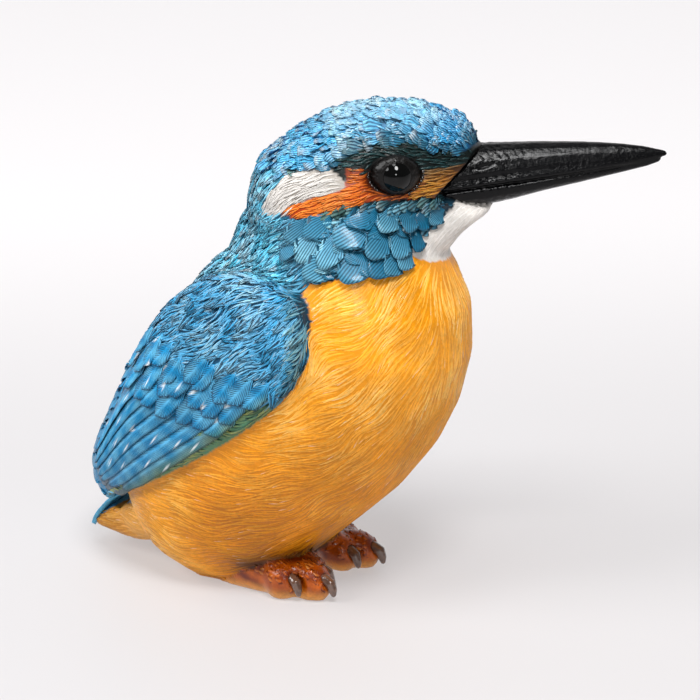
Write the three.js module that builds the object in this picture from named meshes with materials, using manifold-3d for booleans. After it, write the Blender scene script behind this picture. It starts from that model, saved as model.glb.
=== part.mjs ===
// A painted cast-resin kingfisher ornament at life size. The bird sits upright on its belly and its feet,
// with its wings folded and its head turned to its left. Millimetres: +X is the way the breast faces, +Y is
// the bird's left, +Z is up, and the origin is on the flat base under the belly.
//
// The flesh is modelled whole and parted into head, neck and trunk by thin cuts. Wings, tail and feet lie on
// it with a small gap, and the bill and the eyes sit in the head.
import * as THREE from "three";
import { mergeVertices } from "three/addons/utils/BufferGeometryUtils.js";
import Module from "manifold-3d";

const wasm = await Module();
wasm.setup();

// ---- Driving dimensions ----
const GAP = 0.3; // left between two pieces that meet
const PARTING = 0.4; // width of a cut that parts the body
const FLOOR = 0; // level of the base, the soles and the claw tips

const HEAD_CENTRE = [23.5, 2, 91];
const HEAD_TURN = 30; // degrees to the bird's left
const HEAD_LIFT = 0.5; // degrees the bill points above level

const EYE_RADIUS = 5.2;
const EYE_CENTRE = [5.3, 11.4, 6.4]; // in the head's frame, on the bird's left
const BILL_TIP = [63.5, 7.4]; // forward of and above the head's centre
const BILL_BASE_TOP = [24.2, 10.6]; // where the forehead meets the ridge of the bill
const GAPE = [14, 0.5]; // corner of the mouth
const JAW_EDGE = [21.5, -2.1]; // where cheek, throat and lower jaw meet
const CHIN = [27.5, -3.2]; // where the throat meets the underside of the bill
const PAST_CHIN = 14; // how far ahead of the chin the notch for the bill reaches
const HEAD_HALF_WIDTH = 20; // no part of the head is wider

const WING_PARTING = 1; // from the middle of the back to the inner edge of a folded wing
const WING_REACH = 50; // no part of a wing is further out

const PAINT = {
  blue: 0x3fa0d6,
  orange: 0xf0981e,
  foot: 0xb85c28,
  claw: 0x4a4340,
  bill: 0x0d0d0e,
  eye: 0x050505,
};

// ---- Geometry to solid and back ----
function solidOf(geometry) {
  const bare = new THREE.BufferGeometry();
  const loose = geometry.index ? geometry.toNonIndexed() : geometry;
  bare.setAttribute("position", loose.getAttribute("position"));
  const merged = mergeVertices(bare);
  return new wasm.Manifold(
    new wasm.Mesh({
      numProp: 3,
      vertProperties: merged.attributes.position.array,
      triVerts: new Uint32Array(merged.index.array),
    }),
  );
}

function geometryOf(solid) {
  const mesh = solid.getMesh();
  const geometry = new THREE.BufferGeometry();
  geometry.setAttribute("position", new THREE.BufferAttribute(mesh.vertProperties, 3));
  geometry.setIndex(new THREE.BufferAttribute(mesh.triVerts, 1));
  geometry.computeVertexNormals();
  return geometry;
}

// A cut can leave slivers beside the piece that is meant.
function mainPiece(solid) {
  return solid.decompose().reduce((a, b) => (a.volume() > b.volume() ? a : b));
}

// ---- Rounded forms ----
// A closed form swept through a few stations. A station is [x, y, z, side, top, under]: the centre of a
// section, its half-width, and its half-depth above and below the centre. The ends round off over the
// shares capStart and capEnd of the length. grow adds a clearance all over, and power squares the section.
function sweptForm(stations, { around, along, capStart = 0.12, capEnd = 0.12, grow = 0, power = 2 }) {
  const centres = new THREE.CatmullRomCurve3(stations.map(([x, y, z]) => new THREE.Vector3(x, y, z)));
  const girths = stations.map(([, , , side, top, under]) => new THREE.Vector3(side, top, under));
  const girthCurve = new THREE.CatmullRomCurve3(girths, false, "catmullrom");
  const across = new THREE.Vector3(0, 1, 0);
  const roundOff = (share) => Math.sqrt(1 - (1 - Math.min(1, share)) ** 2);
  const squared = (x) => Math.sign(x) * Math.abs(x) ** (2 / power);

  const geometry = new THREE.SphereGeometry(1, around, along);
  const position = geometry.attributes.position;
  for (let i = 0; i < position.count; i++) {
    const cosPolar = THREE.MathUtils.clamp(position.getY(i), -1, 1);
    const angle = Math.atan2(position.getZ(i), position.getX(i));
    const t = (1 - cosPolar) / 2;
    const point = centres.getPoint(t);
    const forward = centres.getTangent(t);
    const up = forward.clone().cross(across).normalize();
    const side = up.clone().cross(forward);
    const girth = girthCurve.getPoint(t);
    const cap = roundOff(t / capStart) * roundOff((1 - t) / capEnd);
    const depth = Math.sin(angle) > 0 ? girth.y : girth.z;
    if (cap > 1e-6) {
      point.addScaledVector(side, (girth.x + grow) * cap * squared(Math.cos(angle)));
      point.addScaledVector(up, (depth + grow) * cap * squared(Math.sin(angle)));
    }
    point.addScaledVector(forward, -grow * cosPolar);
    position.setXYZ(i, point.x, point.y, point.z);
  }
  return solidOf(geometry);
}

// A plate with the given outline in the XZ plane, from y = near to y = far.
function plate(outline, near, far) {
  const geometry = new THREE.ExtrudeGeometry(outline, {
    depth: far - near,
    bevelEnabled: false,
    curveSegments: 8,
  });
  geometry.rotateX(Math.PI / 2);
  geometry.translate(0, far, 0);
  return solidOf(geometry);
}

// ---- Head, in its own frame: +X along the bill, origin between the ears ----
const headPose = new THREE.Matrix4()
  .makeTranslation(...HEAD_CENTRE)
  .multiply(new THREE.Matrix4().makeRotationZ(THREE.MathUtils.degToRad(HEAD_TURN)))
  .multiply(new THREE.Matrix4().makeRotationY(THREE.MathUtils.degToRad(-HEAD_LIFT)));
const posed = (solid) => solid.transform(headPose.elements);

const skullStations = [
  [-25.5, 0, -6, 12, 7.5, 14],
  [-15, 0, -2, 16, 13.5, 17],
  [-2, 0, 1, 16.5, 17.8, 17],
  [9, 0, 2, 13, 17.4, 13],
  [18, 0, 2.5, 9.6, 15.0, 7],
  [26, 0, 4, 7.4, 10.8, 5],
];
const throatStations = [
  [-4, 0, -12, 14.5, 7, 11],
  [10, 0, -8.5, 11.6, 7, 9],
  [19, 0, -5.2, 8.2, 4.4, 4.0],
  [CHIN[0] - 0.6, 0, CHIN[1] - 0.3, 4.4, 1.2, 0.6],
];

function skullForm(grow) {
  const skull = sweptForm(skullStations, { around: 28, along: 18, capStart: 0.16, capEnd: 0.12, grow });
  return skull.add(sweptForm(throatStations, { around: 20, along: 10, grow, power: 2.5 }));
}

// The bill fills a notch whose edge slants from the forehead down and back to the gape.
function billNotch(shrink) {
  const outline = new THREE.Shape();
  outline.moveTo(BILL_BASE_TOP[0] + shrink, BILL_BASE_TOP[1]);
  outline.lineTo(GAPE[0] + shrink, GAPE[1]);
  outline.lineTo(JAW_EDGE[0], JAW_EDGE[1] + shrink);
  outline.lineTo(CHIN[0], CHIN[1] + shrink);
  outline.lineTo(CHIN[0] + PAST_CHIN, CHIN[1] + shrink);
  outline.lineTo(CHIN[0] + PAST_CHIN, BILL_BASE_TOP[1]);
  return plate(outline, -HEAD_HALF_WIDTH, HEAD_HALF_WIDTH);
}

function eyeball(side, grow) {
  const ball = new THREE.SphereGeometry(EYE_RADIUS + grow, 16, 12);
  ball.translate(EYE_CENTRE[0], side * EYE_CENTRE[1], EYE_CENTRE[2]);
  return solidOf(ball);
}

const upperBillStations = [
  [10, 0, 0.8, 7.8, 9.1, 0.6],
  [24, 0, 2.2, 6.2, 7.9, 0.6],
  [37, 0, 3.6, 4.8, 6.7, 0.6],
  [49, 0, 5.0, 3.2, 5.1, 0.5],
  [58, 0, 6.3, 1.7, 3.0, 0.4],
  [BILL_TIP[0], 0, BILL_TIP[1], 0.6, 0.6, 0.4],
];
const lowerBillStations = [
  [10, 0, -0.6, 7.4, 0.5, 3.6],
  [24, 0, 0.8, 5.8, 0.5, 4.2],
  [37, 0, 2.2, 4.3, 0.5, 2.5],
  [50, 0, 4.2, 2.6, 0.5, 1.6],
  [62.4, 0, 6.3, 0.9, 0.4, 0.8],
];

const upperBill = (grow) =>
  sweptForm(upperBillStations, { around: 18, along: 14, capStart: 0.04, capEnd: 0.02, grow });
const lowerBill = () =>
  sweptForm(lowerBillStations, { around: 16, along: 12, capStart: 0.04, capEnd: 0.06 });

// ---- Trunk with its neck ----
const trunkStations = [
  [-32, 0, 9.5, 13.2, 11, 9.6],
  [-17, 0, 18.4, 24.7, 24, 25.6],
  [0, 0, 33, 28.5, 31, 27.6],
  [14, 0, 50, 28.5, 34.8, 29.5],
  [22, 0, 67, 25, 31.2, 26.4],
  [24, 0, 82, 19.5, 28.2, 15.8],
  [25, 1, 95, 14, 15, 14],
];
const trunkForm = (grow) =>
  sweptForm(trunkStations, { around: 30, along: 22, capStart: 0.1, capEnd: 0.16, grow, power: 2.1 });

// ---- Wings: a coat over the back, cut to the outline of the folded wing ----
const wingCoatStations = [
  [-42.5, 0, 15.5, 9, 6, 7],
  [-33, 0, 21, 20, 13.2, 19],
  [-16, 0, 31, 28.6, 24.9, 29.5],
  [1, 0, 44, 31, 33.4, 33],
  [15, 0, 58, 30.5, 36, 30],
  [23, 0, 73, 26.5, 32, 27],
  [25, 0, 86, 20, 24, 20],
];
const wingCoat = (grow) =>
  sweptForm(wingCoatStations, { around: 30, along: 20, capStart: 0.07, grow, power: 2.1 });

function wingOutline() {
  const outline = new THREE.Shape();
  outline.moveTo(21, 74); // top of the shoulder
  outline.bezierCurveTo(26, 72, 26, 62, 22, 54.5); // front edge
  outline.bezierCurveTo(16, 46, 2, 36.5, -22, 22.5); // lower edge of the coverts
  outline.bezierCurveTo(-30, 18, -36, 14, -46, 9); // flight feathers
  outline.lineTo(-52, 14);
  outline.bezierCurveTo(-46, 38, -32, 44, -24, 52);
  outline.bezierCurveTo(-16, 68, 0, 81.5, 21, 74); // edge along the back
  return outline;
}

function wingForm(side) {
  const [near, far] = side > 0 ? [WING_PARTING, WING_REACH] : [-WING_REACH, -WING_PARTING];
  return wingCoat(0).intersect(plate(wingOutline(), near, far));
}

// ---- Tail ----
const tailStations = [
  [-22, 0, 9.5, 12, 6, 6],
  [-33, 0, 8.8, 11.4, 6.6, 4.8],
  [-38.5, 0, 7.6, 10.8, 4.6, 3.6],
  [-44.2, 0, 5.5, 9.6, 1.1, 1.0],
];
const tailForm = () =>
  sweptForm(tailStations, { around: 20, along: 10, capStart: 0.2, capEnd: 0.1, power: 3.4 });

// ---- Feet, given for the bird's left ----
const SOLE_DEPTH = 6; // reaches below the floor, where the sole is cut flat
const shankStations = [
  [-10, 10, 3, 3.5, 3.5, SOLE_DEPTH],
  [1, 10.5, 4, 5, 4.5, SOLE_DEPTH],
  [12, 10.5, 4.5, 6, 4.2, SOLE_DEPTH],
];
const toes = {
  outer: { root: [6, 12.2], tip: [14.8, 14.4] },
  middle: { root: [10, 10.3], tip: [21.5, 11] },
  inner: { root: [8, 8], tip: [18, 6.2] },
};
const TOE = { rootHeight: 4.4, knuckleHeight: 4.4, tipHeight: 2.6, thick: 3.8, tipThick: 2.3 };
const CLAW = { behind: 2.6, reach: 1.6, thick: 1.25, rootHeight: 5.6, bendHeight: 4.4, tipHeight: 1.2 };

const lerp = (a, b, share) => a + (b - a) * share;

function toeForm({ root, tip }) {
  const at = (share, height, thick) => [
    lerp(root[0], tip[0], share),
    lerp(root[1], tip[1], share),
    height,
    thick,
    thick,
    SOLE_DEPTH,
  ];
  const stations = [
    at(0, TOE.rootHeight, TOE.thick),
    at(0.6, TOE.knuckleHeight, TOE.thick),
    at(1, TOE.tipHeight, TOE.tipThick),
  ];
  return sweptForm(stations, { around: 12, along: 8, capStart: 0.3, capEnd: 0.3 });
}

function clawForm({ root, tip }, grow) {
  const length = Math.hypot(tip[0] - root[0], tip[1] - root[1]);
  const [dx, dy] = [(tip[0] - root[0]) / length, (tip[1] - root[1]) / length];
  const at = (forward, height, thick) => {
    const [x, y] = [tip[0] + dx * forward, tip[1] + dy * forward];
    return [x, y, height, thick, thick, thick];
  };
  const stations = [
    at(-CLAW.behind, CLAW.rootHeight, CLAW.thick),
    at(CLAW.reach * 0.4, CLAW.bendHeight, CLAW.thick * 1.1),
    at(CLAW.reach, CLAW.tipHeight, CLAW.thick * 0.5),
  ];
  return sweptForm(stations, { around: 8, along: 6, capStart: 0.2, capEnd: 0.15, grow });
}

const sided = (solid, side) => (side > 0 ? solid : solid.mirror([0, 1, 0]));
const onFloor = (solid) => solid.trimByPlane([0, 0, 1], FLOOR);

function footForm(side) {
  let foot = sweptForm(shankStations, { around: 12, along: 8, capStart: 0.25, capEnd: 0.25 });
  for (const toe of Object.values(toes)) {
    foot = foot.add(toeForm(toe));
  }
  for (const toe of Object.values(toes)) {
    foot = foot.subtract(clawForm(toe, GAP));
  }
  return sided(onFloor(foot), side);
}

// ---- The flesh, and the cuts that part it ----
const cutPlane = (normal, offset) => ({ normal: new THREE.Vector3(...normal).normalize(), offset });
const JAW_CUT = cutPlane([0.21, 0.03, 1], 81.6);
const NECK_CUT = cutPlane([0.1, 0, 1], 72);

const above = (solid, { normal, offset }) => solid.trimByPlane(normal.toArray(), offset + PARTING / 2);
const below = (solid, { normal, offset }) =>
  solid.trimByPlane(normal.clone().negate().toArray(), PARTING / 2 - offset);

const flesh = onFloor(trunkForm(0)).add(posed(skullForm(0)));
const fleshGrown = trunkForm(GAP).add(posed(skullForm(GAP)));
const billSeat = posed(skullForm(0).subtract(billNotch(GAP)));

const head = above(flesh, JAW_CUT)
  .subtract(posed(billNotch(0)))
  .subtract(posed(eyeball(1, GAP)))
  .subtract(posed(eyeball(-1, GAP)));
const neck = above(below(flesh, JAW_CUT), NECK_CUT);
const trunk = below(below(flesh, NECK_CUT), JAW_CUT);

const mandible = lowerBill().subtract(upperBill(GAP));
const tail = onFloor(tailForm()).subtract(fleshGrown).subtract(wingCoat(GAP));

// ---- The scene graph ----
const ornament = new THREE.Group();

function addPiece(name, solid, color, roughness) {
  const material = new THREE.MeshStandardMaterial({ color, roughness, metalness: 0 });
  const mesh = new THREE.Mesh(geometryOf(mainPiece(solid)), material);
  mesh.name = name;
  ornament.add(mesh);
}

addPiece("head", head, PAINT.blue, 0.45);
addPiece("neck", neck, PAINT.blue, 0.45);
addPiece("trunk", trunk, PAINT.orange, 0.45);
addPiece("tail", tail, PAINT.blue, 0.45);
addPiece("bill_upper", posed(upperBill(0)).subtract(billSeat), PAINT.bill, 0.15);
addPiece("bill_lower", posed(mandible).subtract(billSeat), PAINT.bill, 0.25);

for (const [sideName, side] of [["right", -1], ["left", 1]]) {
  addPiece(`eye_${sideName}`, posed(eyeball(side, 0)), PAINT.eye, 0.05);
  addPiece(`wing_${sideName}`, wingForm(side).subtract(fleshGrown), PAINT.blue, 0.45);
  addPiece(`foot_${sideName}`, footForm(side).subtract(fleshGrown), PAINT.foot, 0.3);
  for (const [toeName, toe] of Object.entries(toes)) {
    const claw = sided(onFloor(clawForm(toe, 0)), side).subtract(fleshGrown);
    addPiece(`claw_${sideName}_${toeName}`, claw, PAINT.claw, 0.2);
  }
}

export default ornament;
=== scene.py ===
"""A painted cast-resin kingfisher ornament, dressed over its CAD frame.

Lengths inside the script are in millimetres and become metres when a mesh is made.
+X is the way the breast points, +Y the bird's left, +Z up. The head is turned to its left.
"""

import math

import bmesh
import bpy
import numpy as np
from mathutils import Matrix
from mathutils import Vector
from mathutils.bvhtree import BVHTree


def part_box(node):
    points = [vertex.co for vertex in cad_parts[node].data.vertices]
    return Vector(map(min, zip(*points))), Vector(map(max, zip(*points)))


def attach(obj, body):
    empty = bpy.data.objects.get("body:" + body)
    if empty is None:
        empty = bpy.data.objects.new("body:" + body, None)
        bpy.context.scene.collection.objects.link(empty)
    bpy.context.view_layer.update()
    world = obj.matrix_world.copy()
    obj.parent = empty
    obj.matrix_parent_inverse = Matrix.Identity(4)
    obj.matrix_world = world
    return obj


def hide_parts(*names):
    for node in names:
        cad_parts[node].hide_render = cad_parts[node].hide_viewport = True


MM = 0.001
UP = np.array([0.0, 0.0, 1.0])
chance = np.random.default_rng(20)

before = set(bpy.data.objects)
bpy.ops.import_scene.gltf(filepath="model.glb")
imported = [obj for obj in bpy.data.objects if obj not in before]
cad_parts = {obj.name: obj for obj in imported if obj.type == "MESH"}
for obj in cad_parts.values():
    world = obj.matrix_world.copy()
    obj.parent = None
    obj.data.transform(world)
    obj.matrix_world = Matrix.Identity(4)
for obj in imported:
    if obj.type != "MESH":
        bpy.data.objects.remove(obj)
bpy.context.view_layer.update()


# ---------------------------------------------------------------- small helpers

def linear(colour):
    """sRGB hex to linear red, green and blue."""
    channels = [int(colour[i:i + 2], 16) / 255 for i in (1, 3, 5)]
    return np.array([c / 12.92 if c <= 0.04045 else ((c + 0.055) / 1.055) ** 2.4 for c in channels])


def unit(v):
    """Vectors of length one."""
    v = np.asarray(v, float)
    return v / np.maximum(np.linalg.norm(v, axis=-1, keepdims=True), 1e-9)


def ease(low, high, x):
    """0 below low, 1 above high, smooth between."""
    t = np.clip((x - low) / (high - low), 0, 1)
    return t * t * (3 - 2 * t)


def ripple(points, size, seed):
    """A smooth wander from -1 to 1 whose swells are about size mm apart."""
    source = np.random.default_rng(seed)
    total = np.zeros(points.shape[:-1])
    for _ in range(6):
        way = unit(source.normal(size=3)) * (2 * math.pi / size) * source.uniform(0.6, 1.4)
        total += np.sin(points @ way + source.uniform(0, 6.28))
    return total / 3.2


def mix(a, b, share):
    """From a to b by a share for each row."""
    return a + (b - a) * np.asarray(share)[..., None]


def link(name, data):
    """A new object of the scene, with its data."""
    item = bpy.data.objects.new(name, data)
    bpy.context.scene.collection.objects.link(item)
    return item


# ---------------------------------------------------------------- camera

CAMERA_AZIMUTH = math.radians(30)
CAMERA_HEIGHT = math.radians(18)
CAMERA_TARGET = np.array([20.0, 0.0, 55.0])
CAMERA_DISTANCE = 600
CAMERA_LENS = 141.94


def make_camera():
    """A long lens, 600 mm off, from the front right and a little above."""
    back = np.array([
        math.sin(CAMERA_AZIMUTH) * math.cos(CAMERA_HEIGHT),
        -math.cos(CAMERA_AZIMUTH) * math.cos(CAMERA_HEIGHT),
        math.sin(CAMERA_HEIGHT),
    ])
    right = unit(np.cross(UP, back))
    data = bpy.data.cameras.new("camera")
    data.lens = CAMERA_LENS
    data.sensor_width = 36
    data.clip_start = 0.01
    data.clip_end = 20
    data.dof.use_dof = False
    camera = link("camera", data)
    turn = Matrix((right, np.cross(back, right), back)).transposed().to_4x4()
    turn.translation = Vector((CAMERA_TARGET + CAMERA_DISTANCE * back) * MM)
    camera.matrix_world = turn
    bpy.context.scene.camera = camera


make_camera()


# ---------------------------------------------------------------- the head's own axes

def box_mm(node):
    """A CAD node's lowest and highest corner in mm."""
    low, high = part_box(node)
    return np.array(low) / MM, np.array(high) / MM


# where the eyes lie from the head's origin, and their size, in mm
EYE_FORWARD = 5.3
EYE_UP = 6.4
EYE_RADIUS = 5.2


def middle(node):
    """The middle of a CAD node's box in mm."""
    low, high = box_mm(node)
    return (low + high) / 2


RIGHT_EYE = middle("eye_right")
LEFT_EYE = middle("eye_left")
ACROSS = unit((LEFT_EYE - RIGHT_EYE) * np.array([1, 1, 0]))
AHEAD = np.cross(ACROSS, UP)
HEAD = (LEFT_EYE + RIGHT_EYE) / 2 - EYE_FORWARD * AHEAD - EYE_UP * UP


def to_head(points):
    """Forward, left and up of the head, in mm."""
    d = points - HEAD
    return np.stack([d @ AHEAD, d @ ACROSS, d @ UP], -1)


def from_head(places):
    """World places of head places."""
    places = np.asarray(places, float)
    return HEAD + places[..., :1] * AHEAD + places[..., 1:2] * ACROSS + places[..., 2:3] * UP


def way_from_head(ways):
    """World directions of head directions."""
    ways = np.asarray(ways, float)
    return ways[..., :1] * AHEAD + ways[..., 1:2] * ACROSS + ways[..., 2:3] * UP


# The folded wing lies in a slanted plane: along runs from shoulder to tip, over runs up its back.
WING_AXIS = np.array([-0.807, -0.590])
WING_RISE = np.array([-0.590, 0.807])
SHOULDER = np.array([24.0, 66.0])


def to_wing(points):
    """Along and over of a wing place, in mm. Both wings share them."""
    d = points[..., [0, 2]] - SHOULDER
    return d @ WING_AXIS, d @ WING_RISE


# ---------------------------------------------------------------- meshes

def collect(name, bm):
    """A bmesh, in metres, as a new object. The bmesh is used up."""
    mesh = bpy.data.meshes.new(name)
    bm.to_mesh(mesh)
    bm.free()
    return link(name, mesh)


def pour(source, target):
    """Adds the faces of one bmesh to another and frees the first."""
    mesh = bpy.data.meshes.new("copy")
    source.to_mesh(mesh)
    source.free()
    target.from_mesh(mesh)
    bpy.data.meshes.remove(mesh)


def merged_copy(nodes):
    """A bmesh of copies of CAD nodes, each with its doubles merged."""
    bm = bmesh.new()
    for node in nodes:
        single = bmesh.new()
        single.from_mesh(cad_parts[node].data)
        bmesh.ops.remove_doubles(single, verts=single.verts, dist=1e-6)
        pour(single, bm)
    return bm


def as_one_shell(name, bm, grain, rounds):
    """Fuses overlapping solids into one even shell of grain mm and eases its creases."""
    rough = collect(name + "_rough", bm)
    fuse = rough.modifiers.new("fuse", "REMESH")
    fuse.mode = "VOXEL"
    fuse.voxel_size = grain * MM
    bpy.context.view_layer.update()
    ready = rough.evaluated_get(bpy.context.evaluated_depsgraph_get())
    mesh = bpy.data.meshes.new_from_object(ready)
    bpy.data.objects.remove(rough)
    shell = bmesh.new()
    shell.from_mesh(mesh)
    bpy.data.meshes.remove(mesh)
    keep_largest(shell)
    for _ in range(rounds):
        bmesh.ops.smooth_vert(shell, verts=shell.verts, factor=0.5, use_axis_x=True, use_axis_y=True,
                              use_axis_z=True)
    bmesh.ops.recalc_face_normals(shell, faces=shell.faces)
    return shell


def keep_largest(bm):
    """Removes every loose shell but the one with the most corners."""
    seen = set()
    islands = []
    for start in bm.verts:
        if start in seen:
            continue
        seen.add(start)
        island = [start]
        for vert in island:
            for edge in vert.link_edges:
                other = edge.other_vert(vert)
                if other not in seen:
                    seen.add(other)
                    island.append(other)
        islands.append(island)
    islands.sort(key=len)
    for island in islands[:-1]:
        bmesh.ops.delete(bm, geom=island, context="VERTS")


def read(items, attribute, width, kind=float):
    """An attribute of a mesh's items as an array with a row for each."""
    flat = np.empty(len(items) * width, kind)
    items.foreach_get(attribute, flat)
    return flat.reshape(-1, width)


def corners(mesh):
    """A mesh's corners in mm."""
    return read(mesh.vertices, "co", 3) / MM


def corner_normals(mesh):
    """The way the surface faces at each corner."""
    return read(mesh.vertex_normals, "vector", 3)


def place_corners(mesh, points):
    """Moves a mesh's corners to points in mm."""
    mesh.vertices.foreach_set("co", (points * MM).ravel())
    mesh.update()


def triangles(mesh):
    """The corners of each of a mesh's triangles."""
    mesh.calc_loop_triangles()
    return read(mesh.loop_triangles, "vertices", 3, np.int32)


def paint_corners(mesh, colours):
    """Stores one linear colour for each corner as the attribute paint."""
    layer = mesh.color_attributes.new("paint", "FLOAT_COLOR", "POINT")
    data = np.ones((len(mesh.vertices), 4), np.float32)
    data[:, :3] = np.clip(colours, 0, 1)
    layer.data.foreach_set("color", data.ravel())


def shade_smooth(mesh):
    """Shades every face of a mesh smooth."""
    mesh.polygons.foreach_set("use_smooth", np.ones(len(mesh.polygons), bool))


class Surface:
    """A shell that plumes grow from: the area, normal and middle of its faces, and the way to find them."""

    def __init__(self, mesh):
        self.points = corners(mesh)
        self.faces = triangles(mesh)
        a, b, c = (self.points[self.faces[:, i]] for i in range(3))
        cross = np.cross(b - a, c - a)
        self.area = np.linalg.norm(cross, axis=1) / 2
        self.normals = unit(corner_normals(mesh)[self.faces].sum(1))
        self.middles = (a + b + c) / 3
        self.tree = BVHTree.FromPolygons(self.points.tolist(), self.faces.tolist())

    def nearest(self, points):
        """The nearest place on the shell to each point, its normal and its face."""
        places = np.empty_like(points)
        found = np.empty(len(points), int)
        for i, p in enumerate(points.tolist()):
            spot, _, face, _ = self.tree.find_nearest(p)
            places[i] = spot
            found[i] = face
        return places, self.normals[found], found

    def seen_from(self, points, way):
        """Where lines from points along way first meet the shell."""
        places = np.array(points, float)
        found = np.full(len(places), -1)
        for i, p in enumerate(places.tolist()):
            spot, _, face, _ = self.tree.ray_cast(p, way)
            if spot is not None:
                places[i] = spot
                found[i] = face
        return places, self.normals[found], found


# ---------------------------------------------------------------- colours of the paint

def shades(*colours):
    """A paint's colour in the grooves, on the body of a feather and dry-brushed on its crests."""
    return np.array([linear(c) for c in colours])


# The three shades of each paint, and how deep the skin lies below its coat, in mm.
PAINT = {
    "breast": ("#cc7a00", "#f4a00a", "#ffd880", 0.5),
    # the belly's darker orange is a painted shade of the lower body, blended in from the breast's by height
    "belly": ("#8e4600", "#de8600", "#ffb828", 0.5),
    "rear belly": ("#b46c00", "#ee9a00", "#ffd070", 0.5),
    "undertail": ("#9c5c0a", "#cc8416", "#e0a440", 0.35),
    "shoulder": ("#002c48", "#26a8e2", "#b8ecff", 0.6),
    "wing": ("#002846", "#0890ca", "#86dafa", 0.85),
    "wing edge": ("#0c4448", "#578a60", "#b4b462", 0.7),
    "mantle": ("#004468", "#66d2fc", "#d8f6ff", 0.3),
    "tail": ("#1c6488", "#52b0da", "#a4d8f0", 0.6),
    "nape": ("#005070", "#58d6fc", "#d0f4ff", 0.5),
    "neck side": ("#003a56", "#40a6d0", "#a4e0f8", 0.5),
    "crown": ("#004474", "#4cc8fa", "#ccf2ff", 0.5),
    "forehead": ("#004478", "#3cc0fc", "#bcecff", 0.3),
    "cheek": ("#001824", "#2280a8", "#a0e4f8", 0.6),
    "brow": ("#030a09", "#0c2424", "#2c6468", 0.25),
    "mask": ("#9c2e02", "#f47c10", "#ffbc64", 0.35),
    "eye shade": ("#3c1404", "#8e3c10", "#cf742c", 0.2),
    "lore": ("#5a2c04", "#c47a1c", "#f0b850", 0.25),
    "ear": ("#a29b92", "#d0ccc8", "#f2f1ef", 0.35),
    "throat": ("#c0b8ae", "#ece8e4", "#fbfaf8", 0.45),
    "foot": ("#6a2000", "#b45404", "#e29c40", 0.0),
}
SHADES = np.array([shades(*row[:3]) for row in PAINT.values()])
COAT_DEPTH = np.array([row[3] for row in PAINT.values()])
ZONE = {name: number for number, name in enumerate(PAINT)}


def painted_as(zone, *names):
    """Whether each place has one of the named paints."""
    return np.isin(zone, [ZONE[name] for name in names])


# Edges of the colours, in the head's own forward and up, in mm.
EAR_OUTLINE = np.array([
    (-21.8, -0.1), (-21.2, 2.1), (-18.6, 4.7), (-14.4, 7.0), (-10.6, 8.1), (-7.7, 7.9), (-5.6, 6.2),
    (-4.8, 4.6), (-7.1, 3.4), (-11.3, 2.3), (-14.8, 0.9), (-18.6, -0.6), (-21.2, -1.8),
])
MASK_TOP = np.array([
    (-21, -1.2), (-18, -0.5), (-14.8, 0.9), (-11.3, 2.3), (-7.1, 3.4), (-4.9, 4.8), (-4.8, 8.2),
    (-2.3, 8.3), (0.2, 7.6), (3, 6.5), (8, 6.5), (10.6, 6.9), (13.2, 7.0), (15.9, 7.0), (18, 7.4), (20, 7.6),
])
MASK_LOW = np.array([
    (-21, -1.2), (-18, -1.7), (-14.5, -2.5), (-10.3, -1.9), (-5.1, 0), (0.1, 1.3), (5.4, 1.2),
    (9.6, 1), (12.7, 1.3), (14, 0.4), (20, 0.4),
])
BROW_TOP = np.array([
    (-9, 7.4), (-6, 9.2), (-3, 11.1), (1, 12.2), (6, 12.7), (11, 11.9), (16, 10.4), (20, 10.2), (25, 11.0),
])
THROAT_EDGE = np.array([
    (-30, 5.5), (-16, 7), (-10.2, 8.8), (-9.1, 9.3), (-7.6, 10.6), (-6.6, 12.8), (-4.8, 14.9),
    (-3, 16.6), (-1, 18.5), (2, 30),
])
# Height of the top of the orange breast by the angle round the neck, in degrees and mm.
BREAST_TOP = np.array([
    (-180, 74), (-110, 74), (-94, 75), (-82, 76.5), (-60, 78.3), (-39, 80.4), (-26, 81.5), (-20, 80.0),
    (-8, 78.2), (4, 77.5), (24, 76.7), (45, 76.9), (60, 78.0), (75, 79.6), (85, 80.9), (92, 80.0),
    (105, 77.5), (118, 75), (180, 74),
])
# How far forward the blue of the wing and back reaches at each height, in mm.
BLUE_EDGE = np.array([
    (3, -60), (9, -48), (15.5, -33), (20.8, -25.9), (25, -17.9), (29.8, -9.4), (36, 0.6), (41.1, 8.4),
    (45.3, 13.3), (51.1, 18.5), (57.1, 22.5), (63.2, 23.0), (67.8, 23.0), (73.1, 20.4), (75.5, 18.4),
    (82, 18.5),
])
# The height of the tail's upper side, by how far forward it is, in mm.
TAIL_TOP = np.array([(-44.6, 6.2), (-38.5, 11.2), (-33, 14.4), (-22, 15.5)])
# Where the bill leaves the face: its slanted upper edge, and its lower edge down to the chin.
BILL_UPPER_EDGE = np.array([(13.4, 0.4), (23.8, 10.6)])
BILL_LOWER_EDGE = np.array([(13.4, 0.4), (21.5, -2.1), (27.5, -3.2), (40.0, -3.2)])


def edge(table, x):
    """A line through a table of places."""
    return np.interp(x, table[:, 0], table[:, 1])


def inside(outline, x, y):
    """Whether each point is within a closed outline."""
    hit = np.zeros(x.shape, bool)
    for (x0, y0), (x1, y1) in zip(outline, np.roll(outline, -1, 0)):
        if y0 == y1:
            continue
        crosses = (y0 > y) != (y1 > y)
        hit ^= crosses & (x < (x1 - x0) * (y - y0) / (y1 - y0) + x0)
    return hit


def eye_reach(points):
    """How far each point is from the nearer eye's middle, where 1 is the edge of its lids."""
    head = to_head(points)
    f = (head[..., 0] - EYE_FORWARD) / 5.6
    u = (head[..., 2] - EYE_UP) / 4.3
    return np.hypot(f, u) + 10 * (np.abs(head[..., 1]) < 6)


def on_bill(points):
    """Whether each point lies where the bill leaves the face, so that no feather grows there."""
    head = to_head(points)
    f, u = head[..., 0], head[..., 2]
    ahead = f > edge(BILL_UPPER_EDGE[:, ::-1], u) - 0.3
    return ahead & (u > edge(BILL_LOWER_EDGE, f) + 0.1) & (u < 13) & (f > 13.5)


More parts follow.
